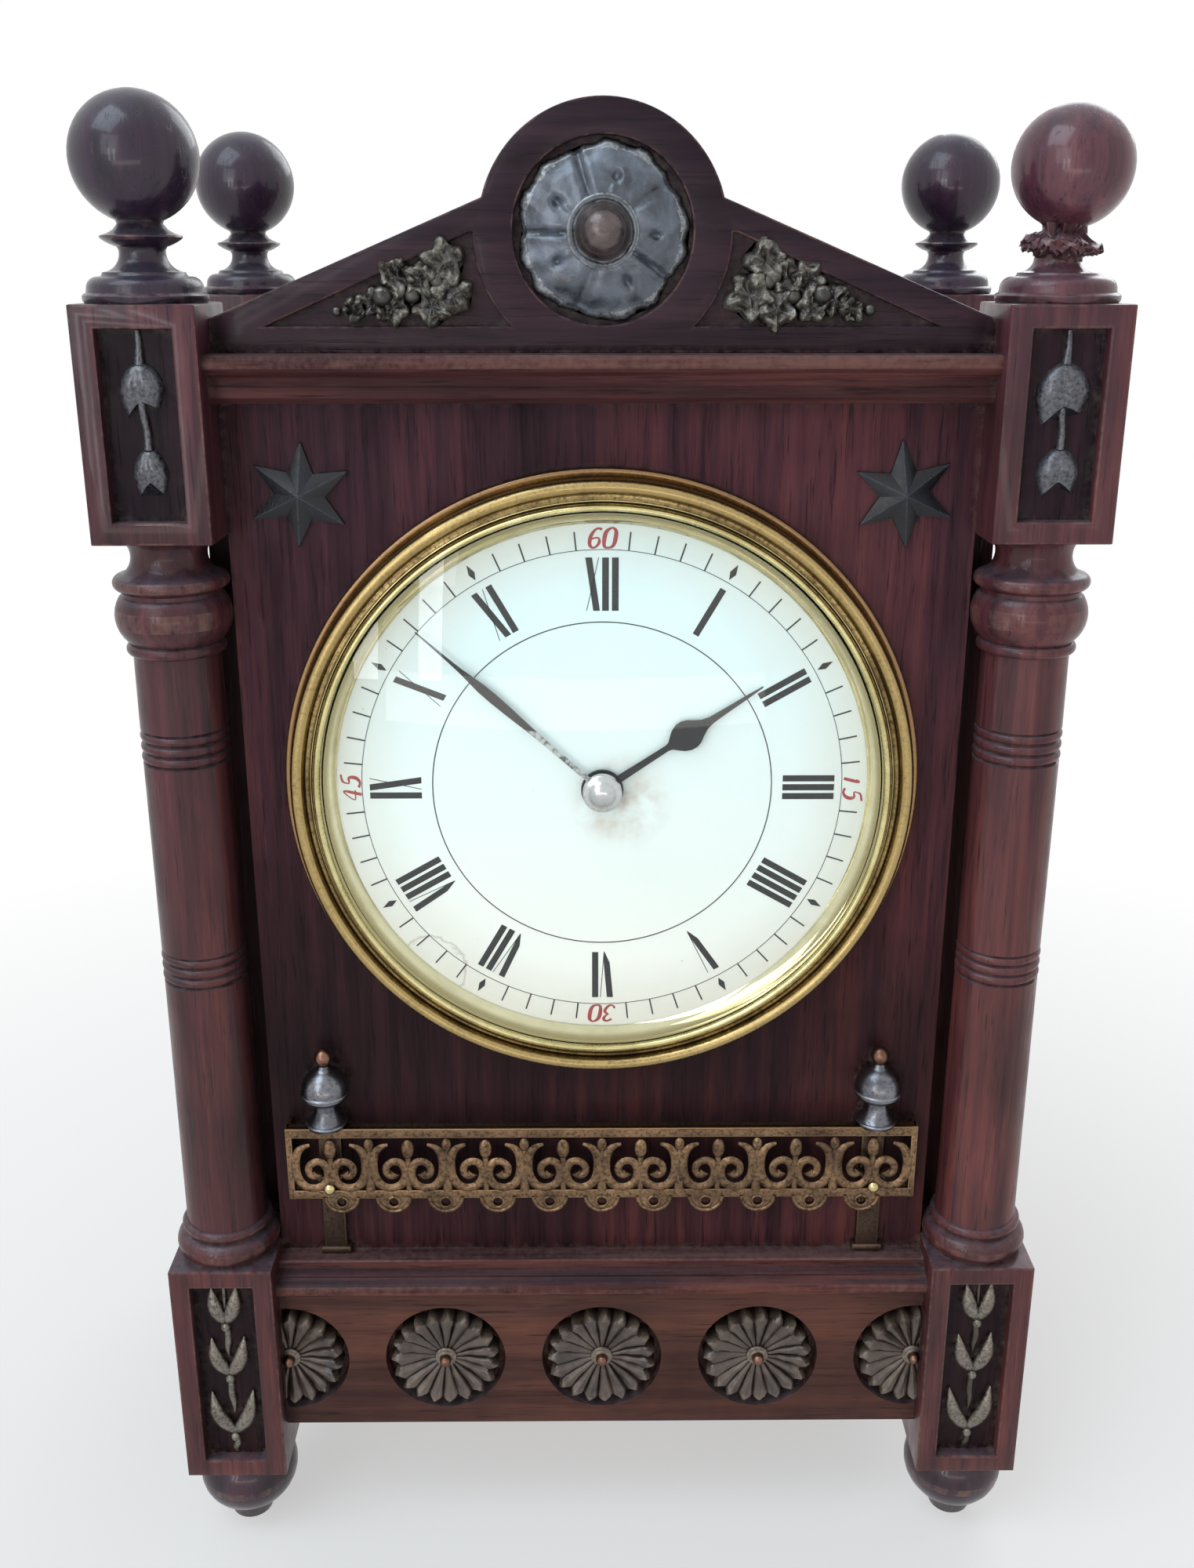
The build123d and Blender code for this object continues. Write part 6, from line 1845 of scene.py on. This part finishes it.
    def tracks(self, piece: Piece) -> None:
        """Minute ticks, five-minute diamonds and the two fine circles.

        Args:
            piece: Piece that takes them.
        """
        for radius, width in ((self.ink_ring, 0.2), (self.track, 0.12)):
            y = self.face
            piece.turn([(radius, y + 0.01), (radius, y - self.paint), (radius + width, y - self.paint),
                        (radius + width, y + 0.01)], (0, 0, self.case.dial_z), Axis.DEPTH, 180)
        for minute in range(60):
            before = set(piece.bm.verts)
            if minute % 15 == 0:
                continue
            if minute % 5 == 0:
                low = self.track + 0.1
                self.patch(piece, [(0, low + 0.5), (0.62, low + 1.9), (0, low + 3.7), (-0.62, low + 1.9)])
            else:
                self.stroke(piece, (0, self.track + 0.1), (0, self.track + 3.5), 0.28)
            self.swing(piece, before, minute / 5)

    def figure(self, piece: Piece, text: str, minute: int) -> None:
        """One pair of red sloping figures on the minute track.

        Args:
            piece: Piece that takes it.
            text: The two digits.
            minute: Minute that it stands at.
        """
        strokes = {
            "1": [((-0.3, 2.3), 0.08), ((0.1, 3.2), 0.24), ((0.05, 1.6), 0.36), ((-0.05, 0.1), 0.3)],
            "3": [((-0.75, 2.9), 0.26), ((-0.1, 3.5), 0.14), ((0.85, 2.9), 0.36), ((0.3, 2.0), 0.16),
                  ((-0.1, 1.95), 0.12), ((0.95, 1.4), 0.38), ((0.3, 0.0), 0.22), ((-0.75, 0.2), 0.14),
                  ((-0.8, 0.7), 0.28)],
            "4": [((0.45, -0.1), 0.3), ((0.5, 1.6), 0.34), ((0.5, 3.4), 0.16), ((-0.4, 2.2), 0.12),
                  ((-0.95, 1.0), 0.12), ((0.1, 1.0), 0.14), ((1.05, 1.0), 0.14)],
            "5": [((0.95, 3.4), 0.2), ((-0.3, 3.3), 0.24), ((-0.45, 2.6), 0.14), ((-0.5, 1.9), 0.12),
                  ((0.7, 2.2), 0.3), ((0.95, 0.7), 0.4), ((0.0, -0.1), 0.2), ((-0.8, 0.4), 0.28)],
            "6": [((0.85, 3.1), 0.28), ((0.1, 3.6), 0.14), ((-0.85, 2.2), 0.38), ((-0.75, 0.4), 0.36),
                  ((0.2, -0.1), 0.14), ((0.95, 0.9), 0.34), ((0.5, 2.0), 0.14), ((-0.6, 1.5), 0.16)],
            "0": [((0.1, 3.45), 0.14), ((-0.85, 3.1), 0.36), ((-0.95, 1.7), 0.44), ((-0.75, 0.2), 0.3),
                  ((0.0, 0.0), 0.14), ((0.85, 0.3), 0.34), ((0.95, 1.8), 0.44), ((0.75, 3.2), 0.34),
                  ((0.0, 3.45), 0.14)],
        }
        before = set(piece.bm.verts)
        foot = self.track + 0.3
        for place, digit in zip((-1.35, 1.35), text):
            line = strokes[digit]
            piece.strand([(place + 1.1 * x + 0.22 * z - 0.35, self.face - 0.02, foot + 1.08 * z)
                          for (x, z), _ in line],
                         [w for _, w in line], 0.15)
        self.swing(piece, before, minute / 5)

    def build(self) -> None:
        """Builds the whole dial."""
        self.bezel()
        self.glass()
        dress_node("dial", "white_enamel")
        ink = Piece("dial_numerals")
        for hour, text in enumerate(self.marks):
            self.numeral(ink, text, hour)
        self.tracks(ink)
        ink.done(["black_numerals"], crease=30)
        red = Piece("dial_minute_figures")
        for text, minute in (("60", 0), ("15", 15), ("30", 30), ("45", 45)):
            self.figure(red, text, minute)
        red.done(["red_numerals"], crease=60)


@dataclass
class Hands:
    """Blued hands and the nut that holds them, set to eight minutes to two."""

    case: CaseSizes
    hour_turn: float = 56.0
    minute_turn: float = 312.0

    def blade(self, name: str, side: Sequence[Point], hub: float, bore: float, rear: float, turn: float,
              body: str, node: str, bare: float = 0.0) -> None:
        """One hand cut from sheet.

        Args:
            name: Piece name.
            side: Right half of the outline as reach and half width.
            hub: Radius of the boss.
            bore: Radius of its hole.
            rear: Depth of its rear face.
            turn: Degrees clockwise from twelve.
            body: Body that it rides on.
            node: CAD node that it replaces.
            bare: How far its inner part has lost its colour.
        """
        piece = Piece(name)
        right = [(width, reach) for reach, width in side]
        left = [(-width, reach) for reach, width in reversed(side)]
        start = math.degrees(math.atan2(math.sqrt(hub ** 2 - side[0][1] ** 2), side[0][1]))
        boss = ring_points((0, 0), hub, 41, 180 - start, 180 + 2 * start)[1:-1]
        piece.plate(right + left + boss, ring_points((0, 0), bore, 36), rear - 0.4, rear)
        for face in piece.bm.faces:
            reach = face.calc_center_median().z
            face[piece.worn] = bare if 4.0 < reach < 18.0 else 0.0
        swing = Matrix.Rotation(math.radians(turn), 4, "Y")
        for vert in piece.bm.verts:
            vert.co = swing @ vert.co + Vector((0, 0, self.case.dial_z))
        piece.done(["blued_black"], body, [node], crease=30)

    def build(self) -> None:
        """Builds both hands and the nut."""
        hour = [(3.9, 0.72), (9.0, 0.62), (14.6, 0.55), (15.4, 0.75), (16.2, 1.5), (17.2, 2.35), (18.4, 2.85),
                (19.6, 2.9), (20.7, 2.5), (21.8, 1.75), (23.0, 1.05), (24.6, 0.66), (28.0, 0.48),
                (32.0, 0.34), (35.9, 0.1)]
        minute = [(2.7, 0.5), (8.0, 0.45), (13.0, 0.48), (17.0, 0.55), (19.0, 0.62), (23.0, 0.8),
                  (27.0, 0.92), (30.0, 0.88), (32.6, 0.62), (35.0, 0.4), (38.0, 0.26), (42.0, 0.17),
                  (45.9, 0.08)]
        self.blade("spade_hour_hand", hour, 4.0, 2.67, -45.0, self.hour_turn, "hour_work", "hour_hand")
        self.blade("spear_minute_hand", minute, 2.9, 1.92, -45.9, self.minute_turn, "minute_work",
                   "minute_hand", 0.75)
        nut = Piece("domed_hand_nut")
        nut.turn([(0.95, -46.32), (3.45, -46.32), (3.7, -46.6), (3.7, -47.5), (3.45, -47.8), (2.9, -47.9),
                  (2.6, -48.1), (0.0, -49.1, 1.75, -48.75)], (0, 0, self.case.dial_z), Axis.DEPTH, 64,
                 rubbed=[(-48.0, -47.4)])
        nut.done(["polished_steel"], "minute_work", ["hand_nut"], crease=40)


@dataclass
class Movement:
    """Brass and steel parts behind the dial, and the door's fittings."""

    brass: tuple[str, ...] = ("hinge_leaves_frame", "hinge_leaves_door", "turn_button", "seat_ring",
                              "front_plate", "back_plate", "plate_pillars", "barrel", "centre_wheel",
                              "third_wheel", "fourth_wheel", "minute_wheel", "hour_wheel", "balance_wheel")
    steel: tuple[str, ...] = ("movement_screws", "mainspring", "winding_arbor", "ratchet_wheel", "click",
                              "centre_arbor", "escape_wheel", "pallet_lever", "hairspring", "cannon_pinion")

    def build(self) -> None:
        """Dresses the parts."""
        for node in self.brass:
            dress_node(node, "plate_brass")
        for node in self.steel:
            dress_node(node, "polished_steel")


@dataclass
class Studio:
    """Pale floor, soft lamps and the camera."""

    lens: float = 34.7
    eye: tuple[float, float, float] = (-0.00316, -0.3153, 0.2649)
    yaw: float = 0.454
    pitch: float = -18.208
    shift: tuple[float, float] = (0.0001, -0.0137)
    ambient: float = 0.235

    def camera(self) -> None:
        """Sets the camera at the photograph's viewing angle."""
        data = bpy.data.cameras.new("camera")
        data.lens, data.sensor_width = self.lens, 36.0
        data.shift_x, data.shift_y = self.shift
        data.clip_start, data.clip_end = 0.01, 50.0
        made = bpy.data.objects.new("camera", data)
        made.location = self.eye
        made.rotation_euler = (math.radians(90 + self.pitch), 0.0, math.radians(-self.yaw))
        bpy.context.scene.collection.objects.link(made)
        bpy.context.scene.camera = made

    def lamp(self, name: str, place: Sequence[float], aim: Sequence[float], size: Point, watts: float,
             colour: Sequence[float]) -> None:
        """Adds one soft lamp.

        Args:
            name: Lamp name.
            place: Position.
            aim: Point that it faces.
            size: Width and height.
            watts: Power.
            colour: Colour.
        """
        data = bpy.data.lights.new(name, "AREA")
        data.shape, data.energy, data.color = "RECTANGLE", watts, colour
        data.size, data.size_y = size
        made = bpy.data.objects.new(name, data)
        made.location = place
        made.rotation_euler = (Vector(aim) - Vector(place)).to_track_quat("-Z", "Y").to_euler()
        bpy.context.scene.collection.objects.link(made)

    def seen(self, tree: bpy.types.NodeTree) -> Socket:
        """Adds the test for a ray that shows the background: from the camera, a gloss or a clear piece.

        Args:
            tree: Node tree that takes it.

        Returns:
            Socket that is 1 for such a ray.
        """
        path = tree.nodes.new("ShaderNodeLightPath")
        total = path.outputs["Is Camera Ray"]
        for other in ("Is Glossy Ray", "Is Transmission Ray"):
            either = tree.nodes.new("ShaderNodeMath")
            either.operation = "MAXIMUM"
            tree.links.new(total, either.inputs[0])
            tree.links.new(path.outputs[other], either.inputs[1])
            total = either.outputs[0]
        return total

    def floor(self) -> None:
        """Lays the pale floor, which fades to white away from the clock and keeps its shadow."""
        mesh = bpy.data.meshes.new("floor")
        bm = bmesh.new()
        bmesh.ops.create_grid(bm, x_segments=1, y_segments=1, size=6.0)
        bm.to_mesh(mesh)
        bm.free()
        made = bpy.data.objects.new("floor", mesh)
        bpy.context.scene.collection.objects.link(made)
        shade = Shade("pale_floor")
        mottled = shade.noise(shade.object_coords, 6, 2)
        shade.set(Base_Color=shade.mix(mottled, (0.9, 0.9, 0.9, 1), (0.93, 0.93, 0.93, 1)), Roughness=0.7)
        reach = shade.node("ShaderNodeVectorMath", {"operation": "LENGTH"})
        shade.feed(reach.inputs[0], shade.object_coords)
        fade = shade.span(reach.outputs["Value"], 0.08, 0.4, 0.5, 1.0)
        glow = shade.node("ShaderNodeEmission", None, Color=(1, 1, 1, 1), Strength=1.0).outputs[0]
        shade.blend_with(shade.times(fade, self.seen(shade.tree)), glow)
        mesh.materials.append(shade.material)

    def world(self) -> None:
        """Sets a soft pale surround that is white where it is seen."""
        world = bpy.data.worlds.new("surround")
        bpy.context.scene.world = world
        world.use_nodes = True
        tree = world.node_tree
        back = tree.nodes["Background"]
        back.inputs["Color"].default_value = (1.0, 1.0, 1.0, 1.0)
        level = tree.nodes.new("ShaderNodeMapRange")
        level.inputs["To Min"].default_value = self.ambient
        level.inputs["To Max"].default_value = 1.0
        tree.links.new(self.seen(tree), level.inputs["Value"])
        tree.links.new(level.outputs[0], back.inputs["Strength"])

    def build(self) -> None:
        """Builds the stage."""
        scene = bpy.context.scene
        scene.view_settings.view_transform = "Standard"
        self.camera()
        self.floor()
        self.world()
        self.lamp("sky", (-0.5, -0.4, 1.1), (0, 0, 0.16), (0.7, 0.7), 5.4, (0.74, 0.9, 1.0))
        self.lamp("left_key", (-0.42, -0.7, 0.5), (0, 0, 0.14), (0.4, 0.4), 1.0, (0.97, 0.98, 1.0))
        for name, x in (("left_pane", -0.62), ("right_pane", -0.48)):
            self.lamp(name, (x, -1.72 - x, 0.30), (0, 0, 0.14), (0.07, 0.42), 0.6, (0.96, 0.98, 1.0))
        self.lamp("low_fill", (-0.05, -1.0, 0.07), (0, 0, 0.12), (0.9, 0.12), 0.8, (1.0, 0.88, 0.76))
        self.lamp("back_rim", (0.5, 0.9, 0.8), (0, 0, 0.18), (0.7, 0.7), 4.0, (0.9, 0.95, 1.0))


def main() -> None:
    """Builds the clock and its stage."""
    logging.basicConfig(level=logging.INFO, format="%(name)s %(message)s")
    case = CaseSizes()
    Studio().build()
    for part in (CornerPosts(case), BallFinials(case), TurnedFeet(case), Boards(case), Pediment(case),
                 PlinthRosettes(case), Bellflowers(case), CarvedStars(case), BrassGallery(case),
                 DialWork(case), Hands(case), Movement()):
        LOG.info("building %s", type(part).__name__)
        part.build()


if __name__ == "__main__":
    main()
